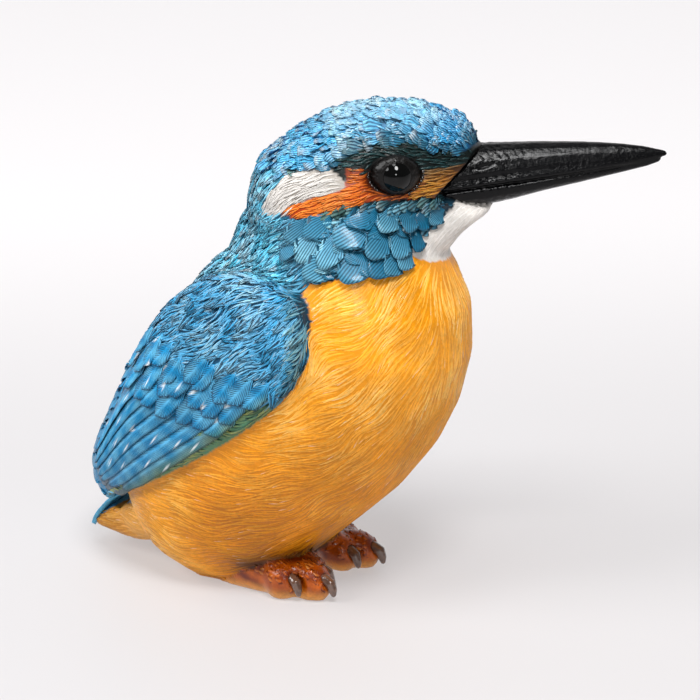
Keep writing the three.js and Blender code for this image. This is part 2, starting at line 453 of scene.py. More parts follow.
def zones(points, owner=None):
    """Which paint lies at each point. owner says which CAD node is under it, where known."""
    head = to_head(points)
    f, side, u = head[..., 0], np.abs(head[..., 1]), head[..., 2]
    x, y, z = points[..., 0], points[..., 1], points[..., 2]
    angle = np.degrees(np.arctan2(y - 1, x - 22))
    zone = np.full(x.shape, ZONE["breast"])
    # body
    zone[z < 44] = ZONE["belly"]
    zone[(x < -4) & (z < 40)] = ZONE["rear belly"]
    zone[(x < -19) & (z < 11)] = ZONE["undertail"]
    blue = x < edge(BLUE_EDGE, z)
    along, over = to_wing(points)
    # the flanks below the wings' lower edges stay orange
    blue &= (over > -3) | (np.abs(y) < 12) | (z > 58)
    zone[blue] = ZONE["mantle"]
    on_tail = (x < -26) & (z < 17) & (np.abs(y) < 12.5)
    zone[on_tail] = ZONE["undertail"]
    zone[on_tail & (z > edge(TAIL_TOP, x) - 1.4)] = ZONE["tail"]
    if owner is not None:
        wing = owner == "wing"
        zone[wing] = ZONE["wing"]
        zone[wing & (along < 19.5 + 1.1 * over)] = ZONE["shoulder"]
        zone[wing & (over < -6.2 + 0.5 * ripple(points, 6, 3)) & (along > 12)] = ZONE["wing edge"]
        zone[owner == "foot"] = ZONE["foot"]
    # neck and head
    upper = z > edge(BREAST_TOP, angle)
    behind = f < -20 - 0.3 * u
    head_zone = np.full(x.shape, ZONE["cheek"])
    head_zone[(f < -12.5) & (u < -2)] = ZONE["neck side"]
    head_zone[(f < -17) | (side < 6) & (f < 0)] = ZONE["nape"]
    head_zone[(u > edge(BROW_TOP, f)) & (f > -22)] = ZONE["crown"]
    head_zone[(u > edge(BROW_TOP, f)) & (f > 15 + 2 * ripple(points, 9, 4))] = ZONE["forehead"]
    brow = (u > edge(MASK_TOP, f) - 0.3) & (u <= edge(BROW_TOP, f)) & (f > -8)
    head_zone[brow] = ZONE["brow"]
    mask = (u > edge(MASK_LOW, f)) & (u < edge(MASK_TOP, f)) & (f > -19.5) & (f < 24) & (side > 3)
    head_zone[mask] = ZONE["mask"]
    head_zone[mask & (f > 9)] = ZONE["lore"]
    ear = inside(EAR_OUTLINE, f, u) & (side > 5)
    head_zone[ear] = ZONE["ear"]
    head_zone[behind & ~ear] = ZONE["nape"]
    throat = (f > edge(THROAT_EDGE, u)) & (u < 2)
    head_zone[throat] = ZONE["throat"]
    head_zone[(u < -14) & ~throat & (f > -10)] = ZONE["cheek"]
    free = upper if owner is None else upper & (owner != "wing") & (owner != "tail")
    zone[free] = head_zone[free]
    return zone


# The middle of the hollow between belly and tail on the left, in mm.
TAIL_HOLLOW = np.array([-26.5, 9.0, 10.2])


def toe_box(side):
    """The front of a foot, where its claws are: its lowest and highest corner in mm."""
    lows, highs = zip(*(box_mm(f"claw_{side}_{toe}") for toe in ("outer", "middle", "inner")))
    low, high = np.min(lows, 0), np.max(highs, 0)
    return low - (8.0, 0, 0), high - (4.0, 0, 0)


TOES = [toe_box("right"), toe_box("left")]


def toward(three, target, share):
    """Three shades moved part of the way to others, by a share for each point."""
    return three + (target - three) * share[..., None, None]


def shades_at(points, zone):
    """The three shades at each point, with the paint's slow drift from top to bottom and place to place, part
    of it painted light and shade.
    """
    three = SHADES[zone].copy()
    x, side, z = points[..., 0], np.abs(points[..., 1]), points[..., 2]
    head = to_head(points)
    f, u = head[..., 0], head[..., 2]
    # painted shade: the orange deepens from the breast down to the flanks and the floor
    orange = painted_as(zone, "breast", "belly", "rear belly")
    ramp = toward(SHADES[ZONE["breast"]], SHADES[ZONE["belly"]], 1 - ease(12, 62, z))
    ramp = toward(ramp, SHADES[ZONE["rear belly"]], (1 - ease(-16, 2, x)) * (z < 45))
    three = np.where(orange[..., None, None], ramp, three)
    # painted light: the crown pales from the brow to the top of the head, where the light from above falls on
    # it
    crown = painted_as(zone, "crown")
    three = toward(three, SHADES[ZONE["crown"]][2], 0.38 * ease(13, 21, u) * crown)
    # the crown and forehead darken over the last 3 mm above the brow
    dusk = 1 - ease(-0.2, 2.8, u - edge(BROW_TOP, f) + 0.6 * ripple(points, 3, 12))
    dusk = 0.8 * dusk * ease(-13, -7, f)
    three = toward(three, SHADES[ZONE["brow"]], dusk * painted_as(zone, "crown", "forehead"))
    # the orange darkens close round the eye, and behind it up to the brow
    by_eye = 0.9 * (1 - ease(1.0, 1.5, eye_reach(points) + 0.06 * ripple(points, 2.5, 14)))
    by_eye = np.maximum(by_eye, 0.55 * ease(4.0, 7.6, u) * (f < 3))
    three = toward(three, SHADES[ZONE["eye shade"]], by_eye * painted_as(zone, "mask", "lore"))
    # the lore darkens towards the brow
    to_brow = 0.75 * ease(3.2, 6.8, u + 0.8 * ripple(points, 2.5, 13))
    three = toward(three, SHADES[ZONE["brow"]], to_brow * painted_as(zone, "lore"))
    # a dark green line parts the blue of the shoulder from the orange, and one parts the cheek from the mask
    blue_side = painted_as(zone, "shoulder", "mantle", "wing") & (side > 12)
    to_orange = 0.55 * (1 - ease(0.1, 1.8, edge(BLUE_EDGE, z) - x)) * blue_side
    to_mask = 0.7 * (1 - ease(0.2, 1.8, edge(MASK_LOW, f) - u)) * painted_as(zone, "cheek")
    three = toward(three, shades("#04120a", "#163a30", "#6c8c58"), np.maximum(to_orange, to_mask))
    # the line down the middle of the back is paler
    spine = 0.4 * np.exp(-(side / 5.5) ** 2) * (x < 14)
    three = toward(three, linear("#9fe0fb"), spine * painted_as(zone, "mantle", "tail"))
    # painted light: a lighter orange lies in the shaded hollow between the belly and the tail
    underside = orange | painted_as(zone, "undertail")
    hollow = np.linalg.norm(np.stack([x, side, z], -1) - TAIL_HOLLOW, axis=-1)
    glow = 0.85 * np.exp(-(hollow / 7) ** 2) * underside
    three = toward(three, shades("#f0a030", "#ffc060", "#ffe0a0"), glow)
    # painted shade: dark brown where the belly meets the feet
    apart = np.minimum(*(np.linalg.norm(np.maximum(np.maximum(low - points, points - high), 0), axis=-1)
                         for low, high in TOES))
    three = toward(three, linear("#3a1404"), 0.95 * np.exp(-(apart / 4.6) ** 2) * underside)
    drift = 1 + 0.10 * ripple(points, 13, 5) + 0.07 * ripple(points, 4, 6)
    return three * drift[..., None, None]


# ---------------------------------------------------------------- the lie of the coat

# The lie of the coat: places in mm and the way the plumes lie there. Those off the middle are mirrored.
BODY_LIE = [
    # breast and belly, down the middle
    ((48, 0, 70), (-0.1, 0, -1)), ((46, 0, 55), (-0.3, 0, -1)), ((38, 0, 35), (-0.6, 0, -0.8)),
    ((25, 0, 15), (-0.9, 0, -0.5)), ((5, 0, 3), (-1, 0, 0)),
    # flanks
    ((40, -15, 72), (-0.35, -0.6, -0.8)), ((43, -14, 58), (-0.4, -0.45, -0.9)),
    ((36, -22, 44), (-0.7, -0.3, -0.7)), ((30, -24, 68), (-0.9, -0.35, -0.4)),
    ((25, -27, 52), (-0.95, -0.15, -0.38)), ((30, -26, 43), (-1, -0.1, -0.32)),
    ((33, -22, 29), (-1, -0.1, -0.38)), ((10, -26, 22), (-1, 0.05, -0.05)), ((10, -27, 34), (-1, 0.05, 0.09)),
    ((5, -27, 38), (-1, 0.1, 0.35)), ((23, -27, 36), (-1, 0, -0.16)), ((2, -28, 28), (-1, 0, 0)),
    ((-12, -26, 18), (-1, 0.1, 0.05)), ((10, -20, 12), (-1, 0, 0)),
    # rear belly and under the tail
    ((-28, -12, 10), (-1, 0.1, -0.2)), ((-36, -11, 8), (-1, 0.1, -0.3)), ((-20, 0, 5), (-1, 0, 0.1)),
    # back, shoulders and wings
    ((0, 0, 80), (-0.7, 0, -0.7)), ((-12, 0, 62), (-0.7, 0, -0.7)), ((6, 0, 95), (-0.35, 0, -0.95)),
    ((-25, -14, 42), (-0.8, 0.1, -0.6)), ((0, -26, 56), (-0.8, 0.1, -0.6)), ((24, -27, 62), (-0.5, 0, -0.85)),
    ((19, -28, 54), (-0.75, 0, -0.65)), ((12, -26, 72), (-0.75, 0.1, -0.65)), ((-40, 0, 9), (-1, 0, -0.1)),
]
# The same for the head, in the head's own forward, left and up.
HEAD_LIE = [
    ((24, 0, 11), (-0.6, 0, 0.8)), ((10, 0, 20), (-1, 0, 0.1)), ((-10, 0, 18), (-0.9, 0, -0.45)),
    ((-24, 0, 5), (-0.3, 0, -1)), ((6, -12, 13), (-1, 0, 0.1)), ((-8, -12, 12), (-0.95, 0, -0.3)),
    ((15, -8, 4), (-0.9, -0.3, -0.1)), ((5, -14, -1), (-1, 0, -0.25)), ((-3, -15, 6), (-1, 0, -0.3)),
    ((-10, -17, 4), (-0.95, 0, -0.35)), ((-8, -17, -1), (-0.95, 0, -0.3)), ((-18, -13, -2), (-0.8, 0, -0.6)),
    ((5, -14, -9), (-0.75, -0.1, -0.65)), ((-5, -17, -12), (-0.8, 0, -0.6)),
    ((14, -9, -5), (-0.8, -0.3, -0.5)),
    ((22, 0, -6), (-0.7, 0, -0.7)), ((18, 0, -14), (-0.2, 0, -1)), ((16, -7, -9), (-0.6, -0.3, -0.75)),
]


def both_sides(strokes):
    """Each stroke that is off the middle also has a mirrored twin."""
    full = []
    for place, way in strokes:
        full.append((place, way))
        if abs(place[1]) > 1:
            full.append(((place[0], -place[1], place[2]), (way[0], -way[1], way[2])))
    return full


body_lie = both_sides(BODY_LIE)
head_lie = both_sides(HEAD_LIE)
LIE_PLACES = np.vstack([[place for place, _ in body_lie], from_head([place for place, _ in head_lie])])
LIE_WAYS = unit(np.vstack([[way for _, way in body_lie], way_from_head([way for _, way in head_lie])]))


def lie(points, normals):
    """The way a plume lies at each point: nearby strokes, blended and pressed onto the skin."""
    way = np.zeros_like(points)
    weight = np.zeros(len(points))
    for place, stroke in zip(LIE_PLACES, LIE_WAYS):
        w = 1 / (((points - place) ** 2).sum(1) + 9) ** 2
        way += w[:, None] * stroke
        weight += w
    way /= weight[:, None]
    way -= (way * normals).sum(1, keepdims=True) * normals
    return unit(way)


def walk(surface, roots, length, steps, wander, swirl=0.0, swirl_size=9.0, field=lie):
    """Lays each plume along the surface: its places, normals and ways at each step, and the faces passed."""
    point = roots.copy()
    stride = (length / (steps - 1))[:, None]
    places, normals, ways, faces = [], [], [], []
    for _ in range(steps):
        point, normal, face = surface.nearest(point)
        way = field(point, normal)
        turn = wander + swirl * ripple(point, swirl_size, 11)
        side = np.cross(normal, way)
        way = unit(way * np.cos(turn)[:, None] + side * np.sin(turn)[:, None])
        places.append(point)
        normals.append(normal)
        ways.append(way)
        faces.append(face)
        point = point + way * stride
    return [np.stack(v, 1) for v in (places, normals, ways, faces)]


def scatter(surface, where, gap):
    """Roots spread over the faces of a mask, no two nearer than gap mm."""
    faces = np.flatnonzero(where)
    area = surface.area[faces]
    count = int(area.sum() / gap ** 2 * 2.6)
    if count == 0:
        return np.zeros((0, 3)), np.zeros(0, int)
    picked = chance.choice(faces, count, p=area / area.sum())
    a, b = chance.random((2, count))
    fold = a + b > 1
    a[fold] = 1 - a[fold]
    b[fold] = 1 - b[fold]
    tri = surface.points[surface.faces[picked]]
    points = tri[:, 0] + a[:, None] * (tri[:, 1] - tri[:, 0]) + b[:, None] * (tri[:, 2] - tri[:, 0])
    cells = {}
    kept = []
    reach = [(i, j, k) for i in (-1, 0, 1) for j in (-1, 0, 1) for k in (-1, 0, 1)]

    def crowded(p, key):
        """Whether a root that is kept already lies nearer than the gap."""
        around = (cells.get((key[0] + i, key[1] + j, key[2] + k), ()) for i, j, k in reach)
        return any((p[0] - q[0]) ** 2 + (p[1] - q[1]) ** 2 + (p[2] - q[2]) ** 2 < gap * gap
                   for cell in around for q in cell)

    for n, (p, key) in enumerate(zip(points.tolist(), np.floor(points / gap).astype(int).tolist())):
        if not crowded(p, key):
            cells.setdefault(tuple(key), []).append(p)
            kept.append(n)
    return points[kept], picked[kept]


# ---------------------------------------------------------------- plumes as thin closed solids

BODY_MIDDLE = np.array([8.0, 0.0, 50.0])
# How wide a plume's patch is on the map from 0 to 1.
PATCH = 0.003


def unwrap(points):
    """The skin's shape laid out as two discs, the right half and the left half, in equal areas."""
    d = unit(points - BODY_MIDDLE)
    right = d[..., 1] < 0
    k = 1 / np.sqrt(1 + np.abs(d[..., 1]))
    u = np.where(right, 0.25, 0.75) + 0.235 * d[..., 0] * k
    v = 0.5 + 0.47 * d[..., 2] * k
    return np.stack([u, v], -1)


def build_plumes(name, path, width, shape, paint, tilt=0.0, strands=0.0):
    """Makes one mesh of many plumes, each a thin closed solid.

    path holds places, normals and ways of each plume's middle line. shape holds the rows s and columns t, and
    on their grid the breadth, the height, how far along the plume they lie and whether they are on a crest,
    and last how deep the keel under it lies. paint gives the colour of each corner. strands is how many fine
    strands the material carves on each side of the middle.
    """
    places, normals, ways = path[:3]
    number, steps = places.shape[:2]
    s, t, breadth, height, run, crest, thick = shape
    rows, columns = len(s), len(t)
    grid = (number, rows, columns)
    at = np.broadcast_to(np.clip(run, 0, 1) * (steps - 1), grid)
    low = np.minimum(at.astype(int), steps - 2)
    part = (at - low)[..., None]
    which = np.arange(number)[:, None, None]
    side = np.cross(normals, ways)

    def along(values):
        return values[which, low] * (1 - part) + values[which, low + 1] * part

    out = unit(along(normals))
    across = (width[:, None, None] / 2 * breadth * t)[..., None]
    turned = np.broadcast_to(tilt, (number,))[:, None, None, None]
    top = along(places) + (unit(along(side)) + out * turned) * across
    top = top + out * np.broadcast_to(height, grid)[..., None]
    centre = columns // 2
    keel = top[:, :, centre] - out[:, :, centre] * thick
    ring = np.concatenate([top, keel[:, :, None]], 2)
    colours = paint(top, s, t, np.broadcast_to(crest, grid))
    colours = np.concatenate([colours, colours[:, :, :1]], 2)
    loop = columns + 1
    points = ring.reshape(-1, 3)
    quads = []
    for r in range(rows - 1):
        this, following = r * loop, (r + 1) * loop
        for q in range(loop):
            n = (q + 1) % loop
            quads.append((this + q, following + q, following + n, this + n))
    end = (rows - 1) * loop
    caps = [(columns, q, q + 1) for q in range(columns - 1)]
    caps += [(end + columns, end + q + 1, end + q) for q in range(columns - 1)]
    one = np.array([(a, b, c) for a, b, c, d in quads] + [(a, c, d) for a, b, c, d in quads] + caps)
    faces = (one[None] + (np.arange(number) * rows * loop)[:, None, None]).reshape(-1, 3)
    mesh = bpy.data.meshes.new(name)
    mesh.vertices.add(len(points))
    mesh.vertices.foreach_set("co", (points * MM).ravel())
    mesh.loops.add(faces.size)
    mesh.loops.foreach_set("vertex_index", faces.ravel().astype(np.int32))
    mesh.polygons.add(len(faces))
    mesh.polygons.foreach_set("loop_start", np.arange(0, faces.size, 3, dtype=np.int32))
    mesh.update(calc_edges=True)
    shade_smooth(mesh)
    paint_corners(mesh, colours.reshape(-1, 3))
    # where each corner lies among the fine strands that the paint's material carves
    phase = chance.random(number) * (strands > 0)
    among = phase[:, None, None] + np.append(t * strands, 0)[None, None, :] * np.ones((1, rows, 1))
    strand = mesh.attributes.new("strand", "FLOAT", "POINT")
    strand.data.foreach_set("value", among.astype(np.float32).ravel())
    # each plume has a small patch of the map, at its root's place
    root = unwrap(places[:, 0])
    patch = np.zeros((number, rows, loop, 2))
    patch[..., 0] = root[:, None, None, 0] + PATCH / 2 * np.append(t, 0)[None, None, :]
    patch[..., 1] = root[:, None, None, 1] + PATCH * (s[None, :, None] - 0.5)
    uv = mesh.uv_layers.new(name="OFBake")
    uv.data.foreach_set("uv", patch.reshape(-1, 2)[faces.ravel()].astype(np.float32).ravel())
    piece = link(name, mesh)
    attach(piece, "root")
    return piece


def tuft(rows, barbs, high, lift, sunk, tip, root=0.55, notch=0.0, round_tip=0.1, droop=0.0, thick=0.4,
         widest=0.45):
    """A lock or tuft of one or more ridges, sunk at its root, lifted at its end and tapering to tip."""
    columns = 2 * barbs + 1
    s = np.linspace(0, 1, rows)
    t = np.linspace(-1, 1, columns)
    ridge = np.zeros(columns)
    ridge[1::2] = 1
    swell = np.sin(np.pi * np.clip(s * 0.92 + 0.08, 0, 1)) ** 0.6
    breadth = (root + (1 - root) * ease(0, widest, s)) * (1 - (1 - tip) * ease(widest, 1, s) ** 1.3)
    base = -sunk * (1 - s) ** 2 + lift * s ** 1.5
    height = base[:, None] + high * (ridge[None] - 0.15) * (0.35 + 0.65 * swell)[:, None]
    height = height - droop * (t ** 2)[None] * ease(0, 0.5, s)[:, None]
    cut = round_tip * np.abs(t) ** 2.2 + notch * (1 - ridge) * (np.abs(t) > 0.01)
    reach = 1 - cut[None] * ease(0.2, 1, s)[:, None]
    crest = ridge[None] * np.ones((rows, 1))
    return s, t, breadth[:, None] * np.ones((1, columns)), height, s[:, None] * reach, crest, thick


def painted(roots, zone, brush, deep_root=0.25, flecks=0.0, soft_groove=0.0):
    """The paint of a piece: deep in the grooves, bright on the crests and towards the tips.

    It darkens towards the root by deep_root, a painted shade where a plume lies under the one above. The
    bright crests and the pale flecks are partly dry-brushed paint and partly painted highlight for the
    varnish's glints.
    """
    three = shades_at(roots, zone)
    tone = chance.normal(1, 0.06, len(roots))
    patches = 0.4 + 0.9 * ease(-0.5, 0.8, ripple(roots, 11, 15))
    glow = np.clip(chance.normal(brush, 0.25, len(roots)) * patches, 0, 1.2)
    white = chance.random(len(roots)) < flecks

    def paint(points, s, t, crest):
        body = ease(0.0, 0.5, crest) * (1 - deep_root * (1 - s) ** 2)[None, :, None]
        body = np.clip(body + soft_groove, 0, 1)
        # painted highlight in part: the crests brighten towards the tips, as dry-brushed paint and as the
        # varnish's glints
        top = ease(0.5, 1.0, crest) * glow[:, None, None] * (0.2 + 0.8 * s ** 1.5)[None, :, None]
        colour = mix(three[:, None, None, 0], three[:, None, None, 1], body)
        colour = mix(colour, three[:, None, None, 2], np.clip(top, 0, 1))
        # pale flecks on the tips of a share of the plumes, partly pale paint and partly painted glints
        if flecks:
            tip = (ease(0.55, 0.95, s)[None, :, None] * ease(0.5, 1, crest)) * white[:, None, None]
            pale_tip_and_glint = mix(three[:, None, None, 2], linear("#f4faff"), 0.6)
            colour = mix(colour, pale_tip_and_glint, 0.75 * tip)
        return colour * tone[:, None, None, None]

    return paint


# ---------------------------------------------------------------- skin

FLESH = ["head", "neck", "trunk", "tail", "wing_right", "wing_left", "foot_right", "foot_left"]


def owners(points):
    """Which kind of CAD node lies nearest to each point."""
    verts = []
    faces = []
    kinds = []
    for node in FLESH:
        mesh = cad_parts[node].data
        tris = (triangles(mesh) + len(verts)).tolist()
        verts.extend(corners(mesh).tolist())
        faces.extend(tris)
        kinds.extend([node.split("_")[0]] * len(tris))
    tree = BVHTree.FromPolygons(verts, faces)
    return np.array([kinds[tree.find_nearest(p)[2]] for p in points.tolist()])


def coat_depth(points, owner):
    """How far the skin lies inside the outline, in mm: deep on the body, nothing on the feet."""
    depth = COAT_DEPTH[zones(points, owner)]
    depth[points[:, 2] < 0.4] = 0
    depth += 1.5 * (1 - ease(0.75, 1.25, eye_reach(points)))
    head = to_head(points)
    depth += 0.7 * on_bill(points) * ease(0, 1.2, head[:, 0] - edge(BILL_UPPER_EDGE[:, ::-1], head[:, 2]))
    return depth


# Soft swellings that fill the hollow between belly, wing tip and tail: middle and three radii in mm.
SWELLINGS = [(TAIL_HOLLOW, (8.5, 5.0, 5.2)), (TAIL_HOLLOW + (-2.5, 0.4, 2.6), (4.0, 3.2, 3.6))]
# Where the skin ends inside the bill, forward of the head's origin in mm.
SKIN_END = 31.0


def make_skin():
    """One shell from the flesh nodes, closed under the eyes and the bill, inside them by the coat's depth."""
    under = ["bill_upper", "bill_lower", "eye_right", "eye_left"]
    flesh = merged_copy(FLESH + under)
    for side in (-1, 1):
        for swelling, radii in SWELLINGS:
            place = Matrix.Translation(Vector(swelling * (1, side, 1) * MM))
            bmesh.ops.create_icosphere(flesh, subdivisions=4, radius=MM,
                                       matrix=place @ Matrix.Diagonal((*radii, 1.0)))
    bm = as_one_shell("skin", flesh, 0.62, 6)
    cut = bmesh.ops.bisect_plane(bm, geom=bm.verts[:] + bm.edges[:] + bm.faces[:],
                                 plane_co=Vector(from_head((SKIN_END, 0, 0)) * MM), plane_no=Vector(AHEAD),
                                 clear_outer=True)["geom_cut"]
    rim = [g for g in cut if isinstance(g, bmesh.types.BMEdge)]
    bmesh.ops.holes_fill(bm, edges=rim, sides=0)
    bmesh.ops.triangulate(bm, faces=[f for f in bm.faces if len(f.verts) > 4])
    skin = collect("skin", bm)
    points = corners(skin.data)
    owner = owners(points)
    depth = coat_depth(points, owner)
    place_corners(skin.data, points - corner_normals(skin.data) * depth[:, None])
    shade_smooth(skin.data)
    return skin, owner


# The line of the tail's upper side, as forward and up in mm.
TAIL_LINE = np.array([(-33.0, 15.0), (-36.0, 13.9), (-38.6, 12.1), (-41.2, 9.0), (-43.6, 5.0)])


def with_tail_top(zone, points, normals):
    """The top of the tail is blue wherever it faces up or back."""
    top = (points[:, 0] < -30) & (points[:, 2] < 17) & (np.abs(points[:, 1]) < 12.5)
    top &= (normals[:, 2] - 0.6 * normals[:, 0] > 0.55) & (np.abs(normals[:, 1]) < 0.6)
    top &= points[:, 2] > edge(TAIL_LINE[::-1], points[:, 0]) - 2.2
    zone[top] = ZONE["tail"]
    return zone


def skin_paint(points, zone):
    """The paint of the bare skin: deep under the plumes, and on the feet patchy and with a painted light
    towards the floor.
    """
    three = shades_at(points, zone)
    share = np.full(len(points), 0.1)
    share[painted_as(zone, "breast", "belly", "rear belly", "undertail", "throat")] = 0.55
    share[painted_as(zone, "wing edge")] = 0.7
    colour = mix(three[:, 0], three[:, 1], share)
    foot_share = 0.55 + 0.45 * ripple(points, 4, 9)
    foot = mix(three[:, 0], three[:, 1], np.clip(foot_share, 0, 1))
    # painted light: the feet are lighter towards the floor
    foot = mix(foot, three[:, 2], 0.8 * (1 - ease(0.5, 3.6, points[:, 2])))
    on_foot = painted_as(zone, "foot")
    colour[on_foot] = foot[on_foot]
    # nearly black round the eyes and under the bill
    dark = np.maximum(1 - ease(0.9, 1.15, eye_reach(points)), on_bill(points) * 1.0)
    return mix(colour, linear("#0c0a09"), dark)


skin, skin_owner = make_skin()
skin_points = corners(skin.data)
skin_zone = with_tail_top(zones(skin_points, skin_owner), skin_points, corner_normals(skin.data))
paint_corners(skin.data, skin_paint(skin_points, skin_zone))
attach(skin, "root")
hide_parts(*FLESH)

surface = Surface(skin.data)
face_owner = skin_owner[surface.faces[:, 0]]
face_zone = with_tail_top(zones(surface.middles, face_owner), surface.middles, surface.normals)
open_skin = ~on_bill(surface.middles) & (surface.middles[:, 2] > 0.9) & (surface.normals[:, 2] > -0.97)
open_skin &= eye_reach(surface.middles) > 1.0


def in_zones(*names):
    """Which faces of the skin carry plumes of the named paints."""
    return open_skin & painted_as(face_zone, *names)


# The pieces of the coat, each with its slot.
coat_pieces = []


def keep(piece, slot):
    """Gives a piece of the coat its slot and keeps it for the materials."""
    coat_pieces.append((piece, slot))


def grow(name, where, gap, width, length, shape, slot="blue_plumage", steps=6, brush=0.45, wander=0.10,
         swirl=0.16, swirl_size=8.0, flecks=0.0, deep_root=0.3, limit=None, onto=(), soft_groove=0.0,
         tilt=0.12, strands=0.0):
    """Grows plumes over a mask of faces. They keep to the zones of limit and end there or in those of onto.

    gap is the least distance between roots, and width and length are a plume's, all in mm. wander and swirl
    turn plumes from the lie of the coat, each alone or in swells of swirl_size mm. brush is how much the
    crests brighten and flecks the share of plumes with pale tips, both partly dry-brushed paint and partly
    painted highlight.
    """

    def at_step(path, step):
        """The paint under each plume at one of its steps."""
        return zones(path[0][:, step], face_owner[path[3][:, step]])

    roots, face = scatter(surface, where, gap)
    size = chance.uniform(0.85, 1.12, len(roots))
    turn = chance.normal(0, wander, len(roots))
    path = walk(surface, roots, length * size, steps, turn, swirl, swirl_size)
    if limit:
        # a plume that would cross into other paint is made half as long, or left out
        home = (*limit, *onto)
        size = size * np.where(painted_as(at_step(path, -1), *home), 1, 0.5)
        path = walk(surface, roots, length * size, steps, turn, swirl, swirl_size)
        stays = painted_as(at_step(path, -1), *home)
        path = [p[stays] for p in path]
        size = size[stays]
        face = face[stays]
    third = steps // 3
    zone = at_step(path, third)
    if limit:
        zone = np.where(painted_as(zone, *limit), zone, face_zone[face])
    breadth = width * np.maximum(size, 0.7) * chance.uniform(0.9, 1.1, len(size))
    piece = build_plumes(name, path, breadth, shape,
                         painted(path[0][:, third], zone, brush, deep_root, flecks, soft_groove),
                         chance.normal(0, tilt, len(size)), strands)
    keep(piece, slot)


# Plumes of one ridge
LOCK = tuft(rows=5, barbs=1, high=0.20, lift=0.24, sunk=0.12, tip=0.3, thick=0.36)
SOFT = tuft(rows=6, barbs=1, high=0.32, lift=-0.21, sunk=0.20, tip=0.45, droop=0.13, thick=0.42)
MANE = tuft(rows=5, barbs=1, high=0.34, lift=0.38, sunk=0.1, tip=0.3, thick=0.6)
FINE = tuft(rows=5, barbs=1, high=0.26, lift=0.18, sunk=0.10, tip=0.3, thick=0.34)
# Broad feathers with a ridge for each barb
TUFT = tuft(rows=4, barbs=5, high=0.20, lift=0.62, sunk=0.12, tip=0.9, root=0.5, notch=0.26, round_tip=0.08,
            droop=0.04, thick=0.6, widest=0.7)
CLUMP = tuft(rows=5, barbs=3, high=0.36, lift=0.75, sunk=0.15, tip=0.42, root=0.45, notch=0.28,
             round_tip=0.22, droop=0.10, thick=0.7, widest=0.5)
FAN = tuft(rows=6, barbs=11, high=0.13, lift=1.05, sunk=0.05, tip=1.0, root=0.50, notch=0.02, round_tip=0.50,
           droop=0.30, thick=0.7, widest=0.60)
SCALLOP = tuft(rows=4, barbs=3, high=0.14, lift=0.75, sunk=0.05, tip=1.0, root=0.35, notch=0.03,
               round_tip=0.42, droop=0.16, thick=0.5, widest=0.8)
SCUTE = tuft(rows=4, barbs=2, high=0.05, lift=0.18, sunk=0.15, tip=0.75, root=0.8, round_tip=0.35, droop=0.25,
             thick=0.35, widest=0.6)

face_x, face_y, face_z = surface.middles.T
face_side = np.abs(face_y)
face_along, face_over = to_wing(surface.middles)

# breast and belly: soft plumes whose ends sink into the skin, brighter in front: the breast and the rear
# belly take more crest brightening and pale flecks than the belly below, partly dry-brushed paint and partly
# painted highlight and glints
front = face_z > 46
orange_lay = {
    "slot": "orange_plumage", "limit": ["breast", "belly", "rear belly", "undertail"], "deep_root": 0.05,
    "swirl": 0.30, "swirl_size": 12, "tilt": 0.05,
}
grow("breast_feathers", in_zones("breast", "belly") & front, 0.88, 1.3, 7.6, SOFT, brush=0.75, flecks=0.12,
     soft_groove=0.15, **orange_lay)
grow("belly_feathers", in_zones("breast", "belly") & ~front, 0.92, 1.35, 8.0, SOFT, brush=0.45, flecks=0.05,
     **orange_lay)
grow("rear_belly_feathers", in_zones("rear belly", "undertail"), 0.90, 1.3, 6.8, SOFT, brush=0.7, flecks=0.14,
     soft_groove=0.15, **orange_lay)

# mantle and neck: broad clumps with fine manes between them
mantle_lay = {"limit": ["mantle", "nape", "neck side", "shoulder"], "flecks": 0.15}
grow("mantle_clumps", in_zones("mantle"), 2.2, 3.0, 6.4, CLUMP, onto=["wing", "tail"], strands=3.0,
     **mantle_lay)
grow("mantle_feathers", in_zones("mantle"), 1.1, 1.0, 5.4, MANE, onto=["wing", "tail", "breast"], swirl=0.45,
     swirl_size=7, brush=0.75, **mantle_lay)
neck_lay = {"limit": ["nape", "neck side", "mantle", "cheek"], "onto": ["shoulder", "wing"], "flecks": 0.15}
grow("nape_clumps", in_zones("nape", "neck side"), 1.7, 2.4, 5.4, CLUMP, wander=0.16, strands=2.5, **neck_lay)
grow("nape_feathers", in_zones("nape", "neck side"), 1.0, 0.95, 5.4, MANE, swirl=0.45, swirl_size=7,
     brush=0.6, **neck_lay)

# wings: a ground of small plumes where no larger feather lies, and small fans on the back
wing_ground = ["wing", "wing edge", "shoulder"]
under_vanes = (face_along > 28 + face_over) & (face_over > -6.5) & (face_over < 11)
grow("wing_ground_feathers", in_zones("wing", "wing edge") & ~under_vanes, 1.25, 1.1, 5.0, SOFT,
     limit=wing_ground, swirl=0.1)
on_back = (face_side < 17) & (face_along > 38)
grow("wing_back_feathers", in_zones("wing") & on_back, 2.5, 3.6, 7.0, FAN, limit=wing_ground,
     onto=["tail", "mantle"], soft_groove=0.2)
grow("shoulder_clumps", in_zones("shoulder"), 2.6, 2.9, 6.6, CLUMP, limit=["shoulder"],
     onto=["wing", "wing edge"], swirl=0.35, wander=0.18, strands=3.0)
grow("shoulder_feathers", in_zones("shoulder"), 0.80, 0.75, 5.6, MANE, limit=["shoulder"],
     onto=["wing", "wing edge", "breast", "mantle"], swirl=0.4, swirl_size=7, flecks=0.08, wander=0.14,
     brush=0.75)
# a dense row covers the front edge of the blue, from 5 mm behind it to 1 mm ahead of it
by_edge = (np.abs(edge(BLUE_EDGE, face_z) - face_x - 2) < 3.2) & (face_side > 14) & (face_z > 46)
edge_zones = ["shoulder", "mantle", "wing", "neck side"]
grow("shoulder_edge_feathers", in_zones(*edge_zones) & by_edge, 0.62, 0.8, 3.0, MANE, steps=5, swirl=0.4,
     wander=0.2, brush=0.6, deep_root=0.0, flecks=0.1, limit=edge_zones)

